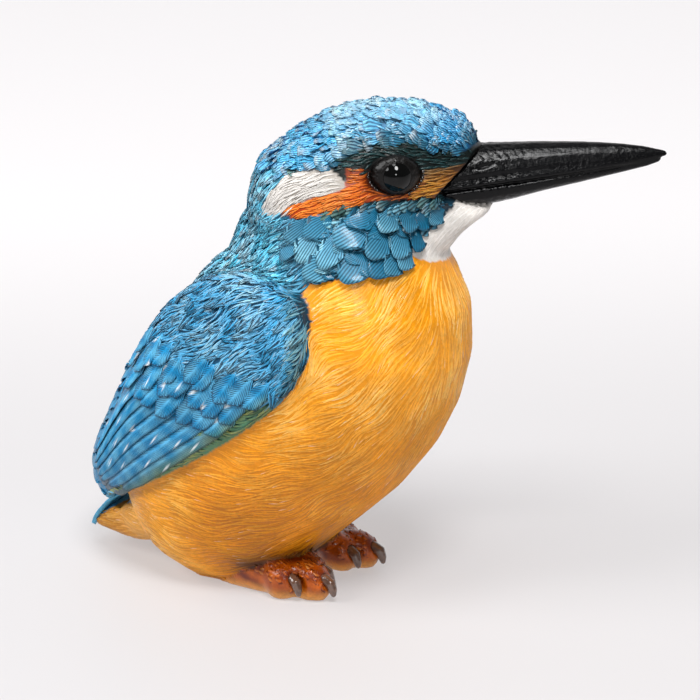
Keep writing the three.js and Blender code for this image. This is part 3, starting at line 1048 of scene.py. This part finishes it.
# crown and forehead
crown_lay = {"limit": ["crown", "forehead"], "steps": 5}
grow("crown_feathers", in_zones("crown", "forehead"), 1.3, 3.0, 3.6, TUFT, brush=0.6, flecks=0.3,
     onto=["nape", "brow"], wander=0.32, tilt=0.32, deep_root=0.4, **crown_lay)
grow("crown_strands", in_zones("crown", "forehead"), 1.7, 0.8, 2.4, MANE, brush=0.8, flecks=0.6,
     onto=["nape"], wander=0.3, **crown_lay)
grow("forehead_feathers", in_zones("forehead"), 0.8, 1.5, 2.2, SCALLOP, steps=5, brush=0.7, flecks=0.3,
     wander=0.3, tilt=0.25, deep_root=0.1)


def small_scallops(points):
    """1 by the gape and just under the mask, where the cheek's scallops are small, and 0 lower down."""
    head = to_head(points)
    by_gape = ease(2, 9, head[..., 0] + 0.6 * head[..., 2])
    by_mask = ease(-4.5, -1.5, head[..., 2] - 0.12 * head[..., 0])
    return np.maximum(by_gape, by_mask)


small = small_scallops(surface.middles) > 0.5
cheek_limit = ["cheek", "neck side"]
grow("cheek_ground_feathers", in_zones("cheek"), 1.3, 1.1, 3.0, LOCK, steps=5, brush=0.2, limit=cheek_limit)
grow("cheek_feathers", in_zones("cheek") & ~small, 2.1, 4.4, 4.6, FAN, brush=0.4, soft_groove=0.2,
     wander=0.08, swirl=0.08, limit=cheek_limit)

# The large fan feathers of the cheek: root and tip, as forward and up on the head, and width, in mm.
CHEEK_FANS = np.array([
    (-7.4, -10.0, -13.4, -13.8, 6.4), (-1.6, -8.8, -5.2, -14.9, 7.4), (4.0, -9.2, -0.6, -14.2, 6.4),
    (8.0, -8.6, 4.0, -13.2, 5.6), (6.2, -9.6, 1.9, -14.0, 5.8), (-15.0, -6.2, -17.2, -12.0, 5.8),
    (-10.6, -5.0, -13.2, -12.0, 6.0), (-6.2, -5.6, -8.8, -12.6, 6.6), (-0.6, -3.8, -6.6, -8.2, 7.6),
    (3.4, -5.2, -1.2, -10.4, 6.6), (7.0, -5.6, 2.8, -10.6, 6.2), (9.8, -5.6, 6.4, -10.2, 5.0),
    (-12.4, -2.8, -17.0, -7.2, 5.4), (-8.0, -1.6, -13.2, -6.0, 5.8), (1.4, -0.6, -4.8, -4.2, 5.8),
    (5.0, -1.0, 1.0, -6.0, 5.6), (8.8, -1.4, 5.8, -6.2, 5.2), (12.2, -1.8, 9.4, -6.4, 4.8),
    (15.2, -1.6, 12.4, -5.2, 4.0),
])


def make_cheek_fans(name, sign):
    """The large fans of one cheek, the upper ones over the lower. sign is -1 on the bird's right."""
    number = len(CHEEK_FANS)
    level = np.zeros(number)
    start = from_head(np.stack([CHEEK_FANS[:, 0], np.full(number, 40.0 * sign), CHEEK_FANS[:, 1]], -1))
    roots, _, _ = surface.seen_from(start, tuple(-sign * ACROSS))
    run_forward = CHEEK_FANS[:, 2] - CHEEK_FANS[:, 0]
    run_up = CHEEK_FANS[:, 3] - CHEEK_FANS[:, 1]
    heading = unit(way_from_head(np.stack([run_forward, level, run_up], -1)))

    def straight(points, normals):
        return unit(heading - (heading * normals).sum(1, keepdims=True) * normals)

    path = walk(surface, roots, np.hypot(run_forward, run_up), 8, level, field=straight)
    s, t, breadth, height, run, crest, thick = FAN
    # the upper fans stand higher, so that they lie over the lower ones
    higher = 0.03 * (CHEEK_FANS[:, 3] + 18)
    lifted = height[None] + 0.35 + higher[:, None, None] * ease(0, 0.5, s)[None, :, None]
    shape = (s, t, breadth, lifted, run, crest, thick)
    paint = painted(path[0][:, 3], np.full(number, ZONE["cheek"]), 0.4, soft_groove=0.2)
    piece = build_plumes(name, path, CHEEK_FANS[:, 4], shape, paint, chance.normal(0, 0.12, number))
    keep(piece, "blue_plumage")


make_cheek_fans("right_cheek_fans", -1)
make_cheek_fans("left_cheek_fans", 1)
grow("small_cheek_feathers", in_zones("cheek") & small, 1.5, 3.0, 3.3, SCALLOP, brush=0.9, wander=0.12,
     swirl=0.08, limit=cheek_limit, flecks=0.3)

# face
grow("brow_feathers", in_zones("brow"), 0.7, 0.8, 2.6, FINE, steps=5, limit=["brow"], onto=["crown", "mask"])
grow("mask_feathers", in_zones("mask", "lore"), 0.6, 0.62, 3.6, FINE, "orange_plumage", brush=0.55,
     limit=["mask", "lore"])
grow("ear_feathers", in_zones("ear"), 0.6, 0.6, 5.0, FINE, "white_plumage", limit=["ear"],
     onto=["nape", "neck side"], swirl=0.3, swirl_size=6)
grow("throat_feathers", in_zones("throat"), 0.7, 0.9, 3.4, SOFT, "white_plumage", limit=["throat"])


# ---------------------------------------------------------------- the folded wings' larger feathers

def wing_point(along, over, far):
    """A place beside the wing at a distance far from the middle of the bird."""
    x = SHOULDER[0] + WING_AXIS[0] * along + WING_RISE[0] * over
    z = SHOULDER[1] + WING_AXIS[1] * along + WING_RISE[1] * over
    return np.stack([x, np.full_like(x, far), z], -1)


# Corners across a large feather.
VANE_COLUMNS = 9
# Pale spots, as along and over in mm.
WING_SPOTS = np.array([
    (41, 9.7), (36, 7.2), (32, 4.8), (29, 2.4), (28.4, -1.5), (23, -3.9), (27.7, -5.4), (39, 13),
    (34.3, 10.4), (35.2, 16.8), (44, 16), (50.8, 9.7), (55.9, 6.3), (51.6, 2.9), (59.4, 2.7),
    (55.7, 0.2), (46, -1.8), (40.3, -5), (36.4, -7.8), (59.8, -2.8), (51.4, -5.1), (46.9, -8.3),
    (64, 7.7), (61, 11), (64.5, -0.2),
])


def vane_shape(length, width, pitch, slant, round_mm, base, layer, roll, barb_high, shaft_high, thick,
               sunk=0.35):
    """A feather with a shaft and slanting barbs: each barb is one row of the grid raised over the next.

    length and width hold one value for each feather. pitch is the distance between barbs and round_mm how
    much shorter the tip's corners are than its middle, all in mm.
    """
    rows = int(length.max() / pitch) * 2 + 1
    s = np.linspace(0, 1, rows)
    t = np.linspace(-1, 1, VANE_COLUMNS)
    off = np.abs(t)[None, None, :]
    long = length[:, None, None]
    start = slant * off * width[:, None, None] / 2 / long
    top = 1 - round_mm * off ** 2 / long
    raw = s[None, :, None] * 1.02 + start
    inside = np.clip((top - raw) / 0.03, -30, 30)
    # past the rim the rows still creep on by a hundredth of a millimetre, so that no two of them meet
    run = top - 0.03 * np.log1p(np.exp(inside)) + 0.02 * np.clip(raw - top, 0, None)
    open_share = 1 / (1 + np.exp(-inside))
    ridge = (np.arange(rows) % 2)[None, :, None] * np.ones((len(length), 1, VANE_COLUMNS))
    shaft = (off < 0.01) * 1.0
    barb = ridge * (1 - shaft) * open_share * (0.55 + 0.45 * ease(0, 0.3, off))
    height = base + layer * ease(0, 1, run) + roll * t[None, None, :] + barb_high * barb
    height = height + shaft_high * shaft * (1 - 0.7 * s[None, :, None]) - 0.20 * off ** 5
    height = height - sunk * (1 - ease(0, 0.15, s))[None, :, None]
    taper = 0.5 + 0.5 * ease(0, 0.22, 1 - run)
    breadth = taper * (0.75 + 0.25 * ease(0, 0.25, run))
    crest = np.clip(barb + 0.75 * shaft, 0, 1)
    return s, t, breadth, height, run, crest, thick


def wing_vanes(name, side, along_tip, over, length, width, pitch=1.1, slant=1.9, round_mm=2.2, base=0.3,
               layer=0.9, roll=0.12, barb_high=0.2, dark=0.0, spots=True, turn=None, below=0.5):
    """Larger feathers of a folded wing, each over the one below it.

    along_tip and over place their tips. dark is the share of dark paint over them, and below how dark the
    painted shadow is where the feather above lies on them.
    """
    sign = -1 if side == "right" else 1
    root = wing_point(along_tip - length, over, 60.0 * sign)
    places, _, found = surface.seen_from(root, (0, -sign, 0))
    met = found >= 0
    places, along_tip, over = places[met], along_tip[met], over[met]
    length, width = length[met], width[met]
    number = len(places)
    swing = np.zeros(number) if turn is None else turn[met] * -sign
    heading = np.array([WING_AXIS[0], 0, WING_AXIS[1]])

    def straight(points, normals):
        return unit(heading - (normals @ heading)[:, None] * normals)

    path = walk(surface, places, length, 14, swing, field=straight)
    lower = -sign
    shape = vane_shape(length, width, pitch, slant, round_mm, base, layer, roll * lower, barb_high,
                       shaft_high=0.18, thick=0.55)
    zone = np.full(number, ZONE["wing"])
    three = shades_at(path[0][:, 7], zone)[:, None, None]
    tone = chance.normal(1, 0.06, number)
    low_edge = SHADES[ZONE["wing edge"]]

    def paint(points, s, t, crest):
        far_along, far_over = to_wing(points)
        ochre = 0.85 * (1 - ease(-9.4, -5.2, far_over + 0.5 * ripple(points, 5, 21)))
        deep, body, bright = (mix(three[..., n, :], low_edge[n], ochre) for n in range(3))
        colour = mix(deep, body, np.clip(1.1 * crest, 0, 1))
        patchy = np.clip(0.5 + 0.8 * ripple(points, 3.5, 22), 0, 1)
        colour = mix(colour, bright, 0.55 * crest * patchy)
        # painted shade: a dark line where the feather above lies over this one, and a darker rim at each tip
        tucked = ease(0.5, 0.95, -t * lower)[None, None, :]
        rim = ease(0.90, 1.0, s)[None, :, None] * np.ones(len(t))
        colour = mix(colour, deep, np.maximum(below * tucked, 0.5 * rim))
        if dark:
            colour = mix(colour, linear("#343d45"), dark)
        if spots:
            white = np.zeros(points.shape[:-1])
            for spot_along, spot_over in WING_SPOTS:
                away = ((far_along - spot_along) / 0.85) ** 2 + ((far_over - spot_over) / 0.30) ** 2
                white = np.maximum(white, 1 - ease(0.5, 1.6, away))
            colour = mix(colour, linear("#eef4f6"), 0.85 * white)
        return colour * tone[:, None, None, None]

    piece = build_plumes(name, path, width, shape, paint)
    keep(piece, "blue_plumage")


# Where the feathers' tips lie, as along and over in mm.
FLIGHT_OVER = np.array([12.0, 8.9, 5.8, 2.7, -0.4, -3.5, -6.6])
FLIGHT_TIP = np.array([74.5, 75.7, 76.0, 75.6, 75.0, 72.0, 66.0])
PRIMARY_OVER = np.array([6.5, 4.0, 1.5, -1.0, -3.5, -6.0])
PRIMARY_TIP = np.array([79.0, 79.5, 79.5, 79.0, 77.0, 73.0])
COVERT_ROWS = [
    # end line at over 0, its slope, length, width, gap, lowest over and turn towards the lower edge
    (36.6, 0.95, 13.0, 5.4, 3.5, -5.6, 0.16),
    (30.2, 0.98, 11.5, 5.0, 3.3, -5.2, 0.24),
    (24.4, 1.00, 9.5, 4.6, 3.1, -4.8, 0.28),
]


def dress_wing(side):
    """The dark tips of one wing, its flight feathers over them and three rows of coverts over those."""
    wing_vanes(f"primary_tips_{side}", side, PRIMARY_TIP, PRIMARY_OVER, np.full(6, 20.0), np.full(6, 3.6),
               round_mm=1.6, base=-0.05, layer=0.15, roll=0.2, barb_high=0.06, dark=0.75, spots=False)
    flight_root = 27 + 0.9 * FLIGHT_OVER
    wing_vanes(f"flight_feathers_{side}", side, FLIGHT_TIP, FLIGHT_OVER, FLIGHT_TIP - flight_root,
               np.full(7, 4.5), pitch=0.8, slant=2.6, base=0.1, layer=0.55, roll=0.34, barb_high=0.16,
               below=0.6)
    for row, (start, slope, length, width, gap, lowest, turn) in enumerate(COVERT_ROWS):
        over = np.arange(lowest + 0.5 * gap * (row % 2), 22, gap)
        over = over + chance.normal(0, 0.25, len(over))
        tip = start + slope * over + chance.normal(0, 0.6, len(over))
        size = chance.uniform(0.92, 1.08, len(over))
        wing_vanes(f"covert_row_{row + 1}_{side}", side, tip, over, length * size, width * size,
                   pitch=0.8, base=0.22 + 0.10 * row, layer=0.85, roll=0.22, barb_high=0.24,
                   turn=chance.normal(turn, 0.07, len(over)))


dress_wing("right")
dress_wing("left")


# ---------------------------------------------------------------- tail

def make_tail_vanes():
    """Six broad tail feathers laid side by side, as thick as the cast plate that ends the tail."""
    y = np.array([-8.7, -5.4, -1.8, 1.8, 5.4, 8.7])
    steps = np.concatenate([[0], np.cumsum(np.linalg.norm(np.diff(TAIL_LINE, axis=0), axis=1))])
    way_along = np.linspace(0, steps[-1], 14)
    x = np.interp(way_along, steps, TAIL_LINE[:, 0])
    z = np.interp(way_along, steps, TAIL_LINE[:, 1])
    share = way_along / steps[-1]
    bow = (1 - (y / 9.0) ** 2)[:, None] * share[None]
    places = np.stack([x[None] - 0.9 * bow, (0.9 + 0.1 * share[None]) * y[:, None], z[None] + 0.4 * bow], -1)
    ways = unit(np.gradient(places, axis=1))
    normals = unit(np.cross(ways, np.array([0.0, 1.0, 0.0])))
    normals = normals * np.sign(normals[..., 2:])
    width = np.full(6, 4.1)
    shape = vane_shape(np.full(6, steps[-1]), width, pitch=0.8, slant=1.2, round_mm=1.0, base=0.1, layer=0.0,
                       roll=0.0, barb_high=0.12, shaft_high=0.16, thick=0.9, sunk=0.0)
    three = shades_at(places[:, 7], np.full(6, ZONE["tail"]))[:, None, None]

    def paint(points, s, t, crest):
        # painted light: the feathers keep to the body shade even in their grooves, which lifts them out of
        # the shade they lie in; their crests are dry-brushed towards the tips
        colour = mix(three[..., 0, :], three[..., 1, :], 0.85 + 0.15 * crest)
        return mix(colour, three[..., 2, :], 0.35 * crest * ease(0.2, 1, s)[None, :, None])

    piece = build_plumes("tail_feathers", [places, normals, ways], width, shape, paint)
    keep(piece, "blue_plumage")


make_tail_vanes()

# scales on the toes, and a fringe along the wings' lower edges
on_toes = in_zones("foot") & (surface.normals[:, 2] > 0.15) & (face_z > 1.5)
grow("toe_scales", on_toes, 1.25, 2.3, 2.0, SCUTE, "foot", steps=4, brush=0.3, wander=0.15, limit=["foot"])
grow("wing_edge_feathers", in_zones("wing edge") & (face_over < -4), 0.85, 1.1, 4.2, LOCK, steps=5,
     limit=["wing", "wing edge"], brush=0.9, swirl=0.1)


# ---------------------------------------------------------------- bill, claws and eyes

def shell_of(nodes, name, grain, rounds, copy_of=merged_copy):
    """Copies of nodes as one fine even shell, ready for small detail."""
    piece = collect(name, as_one_shell(name, copy_of(nodes), grain, rounds))
    shade_smooth(piece.data)
    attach(piece, "root")
    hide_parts(*nodes)
    return piece


def closed_bill(nodes):
    """Both halves of the bill and a raised copy of the lower one that closes the line of the mouth."""
    upper, lower = nodes
    bm = merged_copy([upper, lower])
    filler = merged_copy([lower])
    bmesh.ops.translate(filler, verts=filler.verts, vec=Vector((0, 0, 0.5 * MM)))
    pour(filler, bm)
    return bm


def make_bill():
    """The bill as one cast form: a ridge along the upper edge of the mouth line and a groove below it."""
    bill = shell_of(["bill_upper", "bill_lower"], "bill", 0.22, 7, closed_bill)
    points = corners(bill.data)
    normals = corner_normals(bill.data)
    head = to_head(points)
    f, u = head[:, 0], head[:, 2]
    mouth = 0.55 + 0.120 * (f - 12)
    flank = ease(0.15, 0.6, np.abs(normals @ ACROSS))
    fade = 1 - ease(50, 61, f)
    ridge = 0.10 * np.exp(-((u - mouth - 0.9) / 0.55) ** 2)
    groove = -0.22 * np.exp(-((u - mouth + 0.05) / 0.40) ** 2)
    hollow = -0.22 * np.exp(-((u - mouth - 2.1) / 0.8) ** 2) * (1 - ease(34, 50, f))
    nostril = -0.45 * np.exp(-(((f - 24.5) / 1.7) ** 2 + ((u - mouth - 4.3 - 0.12 * (f - 24)) / 0.38) ** 2))
    rough = 0.05 * ripple(points, 2.0, 31) * (1 - ease(26, 38, f)) + 0.02 * ripple(points, 3, 32)
    push = (ridge + groove + hollow + nostril) * flank * fade + rough
    place_corners(bill.data, points + normals * push[:, None])
    return bill


bill = make_bill()
claws = []
for side in ("right", "left"):
    for toe in ("outer", "middle", "inner"):
        claw = shell_of([f"claw_{side}_{toe}"], f"{side}_{toe}_claw", 0.22, 3)
        # the cast claws are sunk 0.7 mm into the toes
        place_corners(claw.data, corners(claw.data) - np.array([0.7, 0, 0]))
        claws.append(claw)


BALL_RADIUS = EYE_RADIUS * 0.86


def leaning(far, lean, turn):
    """A place at a distance far from the eye's middle, leaning away from its axis and turned round it."""
    return far * np.array([math.sin(lean) * math.cos(turn), math.sin(lean) * math.sin(turn), math.cos(lean)])


def make_ball(on_eye):
    """An eyeball whose dome is rounder than the ball, so that it stands out 0.35 mm in its middle."""
    dome_lean = math.radians(44)
    bm = bmesh.new()
    bmesh.ops.create_uvsphere(bm, u_segments=64, v_segments=48, radius=BALL_RADIUS)
    for vert in bm.verts:
        p = np.array(vert.co)
        lean = math.acos(max(-1, min(1, p[2] / BALL_RADIUS)))
        vert.co = on_eye(p * (1 + 0.075 * float(1 - ease(0.1, dome_lean, lean))))
    return bm


def make_lids(on_eye):
    """A broad flat band on the ball, creased and drawn out towards the front and back corners."""
    bm = bmesh.new()
    profile = bmesh.ops.create_circle(bm, segments=20, radius=1)["verts"]
    bmesh.ops.rotate(bm, verts=profile, cent=(0, 0, 0), matrix=Matrix.Rotation(math.pi / 2, 3, "X"))
    bmesh.ops.translate(bm, verts=profile, vec=(4, 0, 0))
    bmesh.ops.spin(bm, geom=bm.verts[:] + bm.edges[:], cent=(0, 0, 0), axis=(0, 0, 1), angle=2 * math.pi,
                   steps=96, use_merge=True)
    for vert in bm.verts:
        p = np.array(vert.co)
        turn = math.atan2(p[1], p[0])
        ring = math.atan2(p[2], math.hypot(p[0], p[1]) - 4)
        corner = math.cos(turn) ** 4
        outer = (1 + math.cos(ring)) / 2
        lean = math.radians(60 + 6 * corner) + math.cos(ring) * math.radians(18 + 8 * corner)
        crease = 0.06 * math.cos(turn * 26) * outer + 0.05 * math.cos(turn * 11 + 1)
        high = 0.42 + crease
        q = leaning(BALL_RADIUS + 0.02 + high * math.sin(ring) + 0.10 * math.sin(2 * ring), lean, turn)
        q[0] *= 1 + 0.20 * outer * corner
        q[1] *= 1 - 0.06 * outer * (1 - corner)
        vert.co = on_eye(q)
    return bm


def add_beads(bm, on_eye):
    """A row of 26 beads below the lids, in the second material."""
    for n in range(26):
        turn = math.radians(174 + 192 * n / 25)
        corner = math.cos(turn) ** 4
        q = leaning(BALL_RADIUS + 0.66, math.radians(69 + 6 * corner), turn)
        q[0] *= 1 + 0.18 * corner
        q[1] *= 1 - 0.02 * (1 - corner)
        size = 0.34 + 0.08 * math.sin(n * 2.3)
        bead = bmesh.ops.create_icosphere(bm, subdivisions=2, radius=size * MM,
                                          matrix=Matrix.Translation(on_eye(q)))
        for face in {f for v in bead["verts"] for f in v.link_faces}:
            face.material_index = 1


def eye_piece(name, bm):
    """A smooth part of the eye. The bmesh is used up."""
    bmesh.ops.recalc_face_normals(bm, faces=bm.faces)
    piece = collect(name, bm)
    shade_smooth(piece.data)
    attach(piece, "root")
    return piece


def make_eye(side, middle_place, out):
    """An eyeball, and the almond of the lids round it with its beads."""
    facing = unit(out + 0.16 * AHEAD)
    forward = unit(np.cross(np.cross(facing, AHEAD), facing))
    axes = np.stack([forward, UP, facing])

    def on_eye(p):
        """From the eye's own forward, up and out in mm to a place of the scene."""
        return Vector((middle_place + p @ axes) * MM)

    ball = eye_piece(f"{side}_eye", make_ball(on_eye))
    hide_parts(f"eye_{side}")
    bm = make_lids(on_eye)
    add_beads(bm, on_eye)
    return ball, eye_piece(f"{side}_eyelids", bm)


eye_right, lids_right = make_eye("right", RIGHT_EYE, -ACROSS)
eye_left, lids_left = make_eye("left", LEFT_EYE, ACROSS)


# ---------------------------------------------------------------- materials

def add(material, kind, settings=None, links=None, **properties):
    """Adds a node with its properties, its sockets' values and its links."""
    node = material.node_tree.nodes.new(kind)
    for name, value in properties.items():
        setattr(node, name, value)
    for socket, value in (settings or {}).items():
        node.inputs[socket].default_value = value
    for socket, source in (links or {}).items():
        material.node_tree.links.new(source, node.inputs[socket])
    return node


def new_material(name):
    """A material with no nodes yet."""
    material = bpy.data.materials.new(name)
    material.use_nodes = True
    material.node_tree.nodes.clear()
    return material


def rgba(colour):
    """A hex colour as a socket takes it."""
    return (*linear(colour), 1)


def noise(material, place, scale, detail):
    """Soft noise from 0 to 1. scale is the number of its marks in a metre, about."""
    node = add(material, "ShaderNodeTexNoise", {"Scale": scale, "Detail": detail}, {"Vector": place})
    return node.outputs["Fac"]


def spread(material, value, start, end, low=0.0, high=1.0, **properties):
    """Carries a value's range from start to end over to the range from low to high."""
    settings = {"From Min": start, "From Max": end, "To Min": low, "To Max": high}
    return add(material, "ShaderNodeMapRange", settings, {"Value": value}, **properties).outputs["Result"]


def times(material, first, second):
    """The product of two outputs."""
    return add(material, "ShaderNodeMath", {}, {0: first, 1: second}, operation="MULTIPLY").outputs["Value"]


def painted_resin(name, roughness, coat, bump, mottle, carving=0.0, frost=0.0, frost_colour="#ffffff"):
    """Polyester resin, cast in a rubber mould, then painted and dry-brushed by hand under a satin varnish.
    The varnish gives glints along the ridges and the hand-laid paint is slightly uneven."""
    material = new_material(name)
    place = add(material, "ShaderNodeTexCoord").outputs["Object"]
    paint = add(material, "ShaderNodeAttribute", attribute_name="paint").outputs["Color"]
    # brush marks about 0.7 mm across
    marks = noise(material, place, 1400.0, 3.0)
    tone = spread(material, marks, 0.3, 0.7, 1 - mottle, 1 + mottle)
    # carved strands, wavering a little, counted across each plume by its own attribute
    strand = add(material, "ShaderNodeAttribute", attribute_name="strand").outputs["Fac"]
    counted = add(material, "ShaderNodeMath", {1: 2 * math.pi}, {0: strand}, operation="MULTIPLY")
    waving = add(material, "ShaderNodeMath", {}, {0: counted.outputs["Value"]}, operation="SINE")
    wave = waving.outputs["Value"]
    groove = spread(material, wave, -1.0, 1.0, 1 - carving, 1 + 0.5 * carving)
    depth = times(material, tone, groove)
    colour = add(material, "ShaderNodeVectorMath", {}, {0: paint, "Scale": depth}, operation="SCALE")
    # the dry brush catches the crests of some plumes and misses others, in patches about 3 mm across
    patches = noise(material, place, 330.0, 3.0)
    caught = spread(material, patches, 0.5, 0.7, 0.0, frost)
    crest = spread(material, wave, 0.1, 1.0)
    frosted = add(material, "ShaderNodeMix", {7: rgba(frost_colour)},
                  {0: times(material, caught, crest), 6: colour.outputs["Vector"]}, data_type="RGBA")
    carved = add(material, "ShaderNodeBump", {"Strength": 0.9 * min(1.0, 3 * carving), "Distance": 0.0001},
                 {"Height": wave})
    # grain of the cast about 0.25 mm across
    grain = noise(material, place, 4000.0, 2.0)
    relief = add(material, "ShaderNodeBump", {"Strength": bump, "Distance": 0.00012},
                 {"Height": grain, "Normal": carved.outputs["Normal"]})
    shader = add(material, "ShaderNodeBsdfPrincipled",
                 {"Roughness": roughness, "IOR": 1.5, "Specular IOR Level": 0.25, "Coat Weight": coat,
                  "Coat Roughness": 0.14},
                 {"Base Color": frosted.outputs[2], "Normal": relief.outputs["Normal"]})
    add(material, "ShaderNodeOutputMaterial", {}, {"Surface": shader.outputs["BSDF"]})
    return material


def enamel(name, colour, other, roughness, patch, bump, coat=0.6, shine=0.2, worn=None):
    """Gloss enamel brushed over the cast: a hard shine, broken where brush marks and pits show."""
    material = new_material(name)
    place = add(material, "ShaderNodeTexCoord").outputs["Object"]
    # patch is the width of a brush mark in mm
    patches = noise(material, place, 1000 / patch, 4.0)
    blend = add(material, "ShaderNodeMix", {6: rgba(colour), 7: rgba(other)}, {0: patches}, data_type="RGBA")
    relief = add(material, "ShaderNodeBump", {"Strength": bump, "Distance": 0.0003}, {"Height": patches})
    shader = add(material, "ShaderNodeBsdfPrincipled",
                 {"Roughness": roughness, "IOR": 1.5, "Specular IOR Level": shine, "Coat Weight": coat,
                  "Coat Roughness": 0.05},
                 {"Base Color": blend.outputs[2], "Normal": relief.outputs["Normal"]})
    if worn is not None:
        # the gloss is left thick by the face and is rubbed down to satin over the 16 mm in front of it
        ahead = add(material, "ShaderNodeVectorMath", {1: tuple(AHEAD)}, {0: place}, operation="DOT_PRODUCT")
        start = float(HEAD @ AHEAD)
        rubbed = spread(material, ahead.outputs["Value"], (start + 22) * MM, (start + 38) * MM,
                        roughness, worn)
        material.node_tree.links.new(rubbed, shader.inputs["Roughness"])
    add(material, "ShaderNodeOutputMaterial", {}, {"Surface": shader.outputs["BSDF"]})
    return material


paints = {
    "orange_plumage": painted_resin("orange paint on resin, satin varnish", 0.42, 0.15, 0.4, 0.10),
    "blue_plumage": painted_resin("blue paint on resin, satin varnish", 0.40, 0.20, 0.4, 0.10, 0.34, 0.55,
                                  "#94dafa"),
    "white_plumage": painted_resin("white paint on resin, satin varnish", 0.42, 0.20, 0.4, 0.06),
    "foot": painted_resin("orange-brown paint on resin, gloss varnish", 0.22, 0.4, 1.0, 0.14),
}
bill_enamel = enamel("black gloss enamel on resin", "#020203", "#08080a", 0.12, 0.8, 0.60, 0.06, 0.15,
                     worn=0.24)
eye_enamel = enamel("black lens enamel", "#020202", "#040404", 0.04, 3.0, 0.0, 0.2, 0.16)
lid_enamel = enamel("lid enamel, brown black", "#030202", "#080504", 0.32, 0.6, 0.9, 0.2, 0.16)
claw_enamel = enamel("claw enamel, smoky brown", "#1c120e", "#7c5846", 0.10, 1.2, 0.3, 1.0, 0.6)
bead_enamel = enamel("wet black enamel", "#060404", "#1a0e08", 0.16, 0.6, 0.1, 1.0, 0.5)

# the skin has a second material on the feet
skin.data.materials.append(paints["orange_plumage"])
skin.data.materials.append(paints["foot"])
first_corner = read(skin.data.polygons, "loop_start", 1, np.int32)[:, 0]
loop_corner = read(skin.data.loops, "vertex_index", 1, np.int32)[:, 0]
on_foot = painted_as(skin_zone, "foot")
foot_faces = on_foot[loop_corner[first_corner]].astype(np.int32)
skin.data.polygons.foreach_set("material_index", foot_faces)
for piece, slot in coat_pieces:
    piece.data.materials.append(paints[slot])
bill.data.materials.append(bill_enamel)
for piece in claws:
    piece.data.materials.append(claw_enamel)
for piece in (eye_right, eye_left):
    piece.data.materials.append(eye_enamel)
for piece in (lids_right, lids_left):
    piece.data.materials.append(lid_enamel)
    piece.data.materials.append(bead_enamel)


# ---------------------------------------------------------------- floor, backdrop and light

# Level, away from the camera.
AWAY = np.array([-math.sin(CAMERA_AZIMUTH), math.cos(CAMERA_AZIMUTH), 0])


def light_table():
    """Opal acrylic sheet, lit from behind: matt and even, and brighter where it sweeps up."""
    material = new_material("opal acrylic sheet lit from behind")
    place = add(material, "ShaderNodeTexCoord").outputs["Object"]
    away = add(material, "ShaderNodeVectorMath", {1: tuple(AWAY)}, {0: place}, operation="DOT_PRODUCT")
    glow = spread(material, away.outputs["Value"], 0.04, 0.34, 0.40, 0.64, interpolation_type="SMOOTHSTEP")
    shader = add(material, "ShaderNodeBsdfPrincipled",
                 {"Base Color": rgba("#8f8d8e"), "Roughness": 0.6, "Emission Color": rgba("#fffdfe")},
                 {"Emission Strength": glow})
    add(material, "ShaderNodeOutputMaterial", {}, {"Surface": shader.outputs["BSDF"]})
    return material


def make_backdrop():
    """A pale sheet that lies under the ornament and sweeps up behind it."""
    bm = bmesh.new()
    profile = []
    for step in range(25):
        turn = math.radians(90 * step / 24)
        profile.append((0.9 + 0.7 * math.sin(turn), 0.7 - 0.7 * math.cos(turn)))
    profile = [(-3.0, 0.0)] + profile + [(1.6, 4.0)]
    across = np.array([AWAY[1], -AWAY[0], 0])
    verts = [bm.verts.new(Vector(AWAY * d + UP * h + across * -6)) for d, h in profile]
    edges = [bm.edges.new((a, b)) for a, b in zip(verts, verts[1:])]
    swept = bmesh.ops.extrude_edge_only(bm, edges=edges)["geom"]
    moved = [g for g in swept if isinstance(g, bmesh.types.BMVert)]
    bmesh.ops.translate(bm, verts=moved, vec=Vector(across * 12))
    bmesh.ops.recalc_face_normals(bm, faces=bm.faces)
    sheet = collect("backdrop", bm)
    shade_smooth(sheet.data)
    sheet.data.materials.append(light_table())
    return sheet


def area_light(name, azimuth, elevation, distance, size, watts):
    """A round soft box that looks at the ornament. Azimuth is from -Y towards +X, in degrees."""
    data = bpy.data.lights.new(name, "AREA")
    data.shape = "DISK"
    data.size = size
    data.energy = watts
    light = link(name, data)
    a, e = math.radians(azimuth), math.radians(elevation)
    middle_of_all = Vector((0.01, 0, 0.055))
    away = Vector((math.sin(a) * math.cos(e), -math.cos(a) * math.cos(e), math.sin(e))) * distance
    light.rotation_euler = away.to_track_quat("Z", "Y").to_euler()
    light.location = middle_of_all + away
    return light


make_backdrop()
area_light("key softbox", 42, 58, 0.9, 0.28, 6.5)
area_light("overhead softbox", 5, 76, 1.0, 0.40, 3.2)
area_light("side softbox", -40, 38, 1.1, 0.60, 8.0)
area_light("fill by the lens", 33, 20, 1.2, 0.18, 2.2)
world = bpy.data.worlds.new("studio")
world.use_nodes = True
world.node_tree.nodes["Background"].inputs["Color"].default_value = rgba("#ffffff")
world.node_tree.nodes["Background"].inputs["Strength"].default_value = 0.16
bpy.context.scene.world = world
bpy.context.scene.view_settings.view_transform = "Standard"
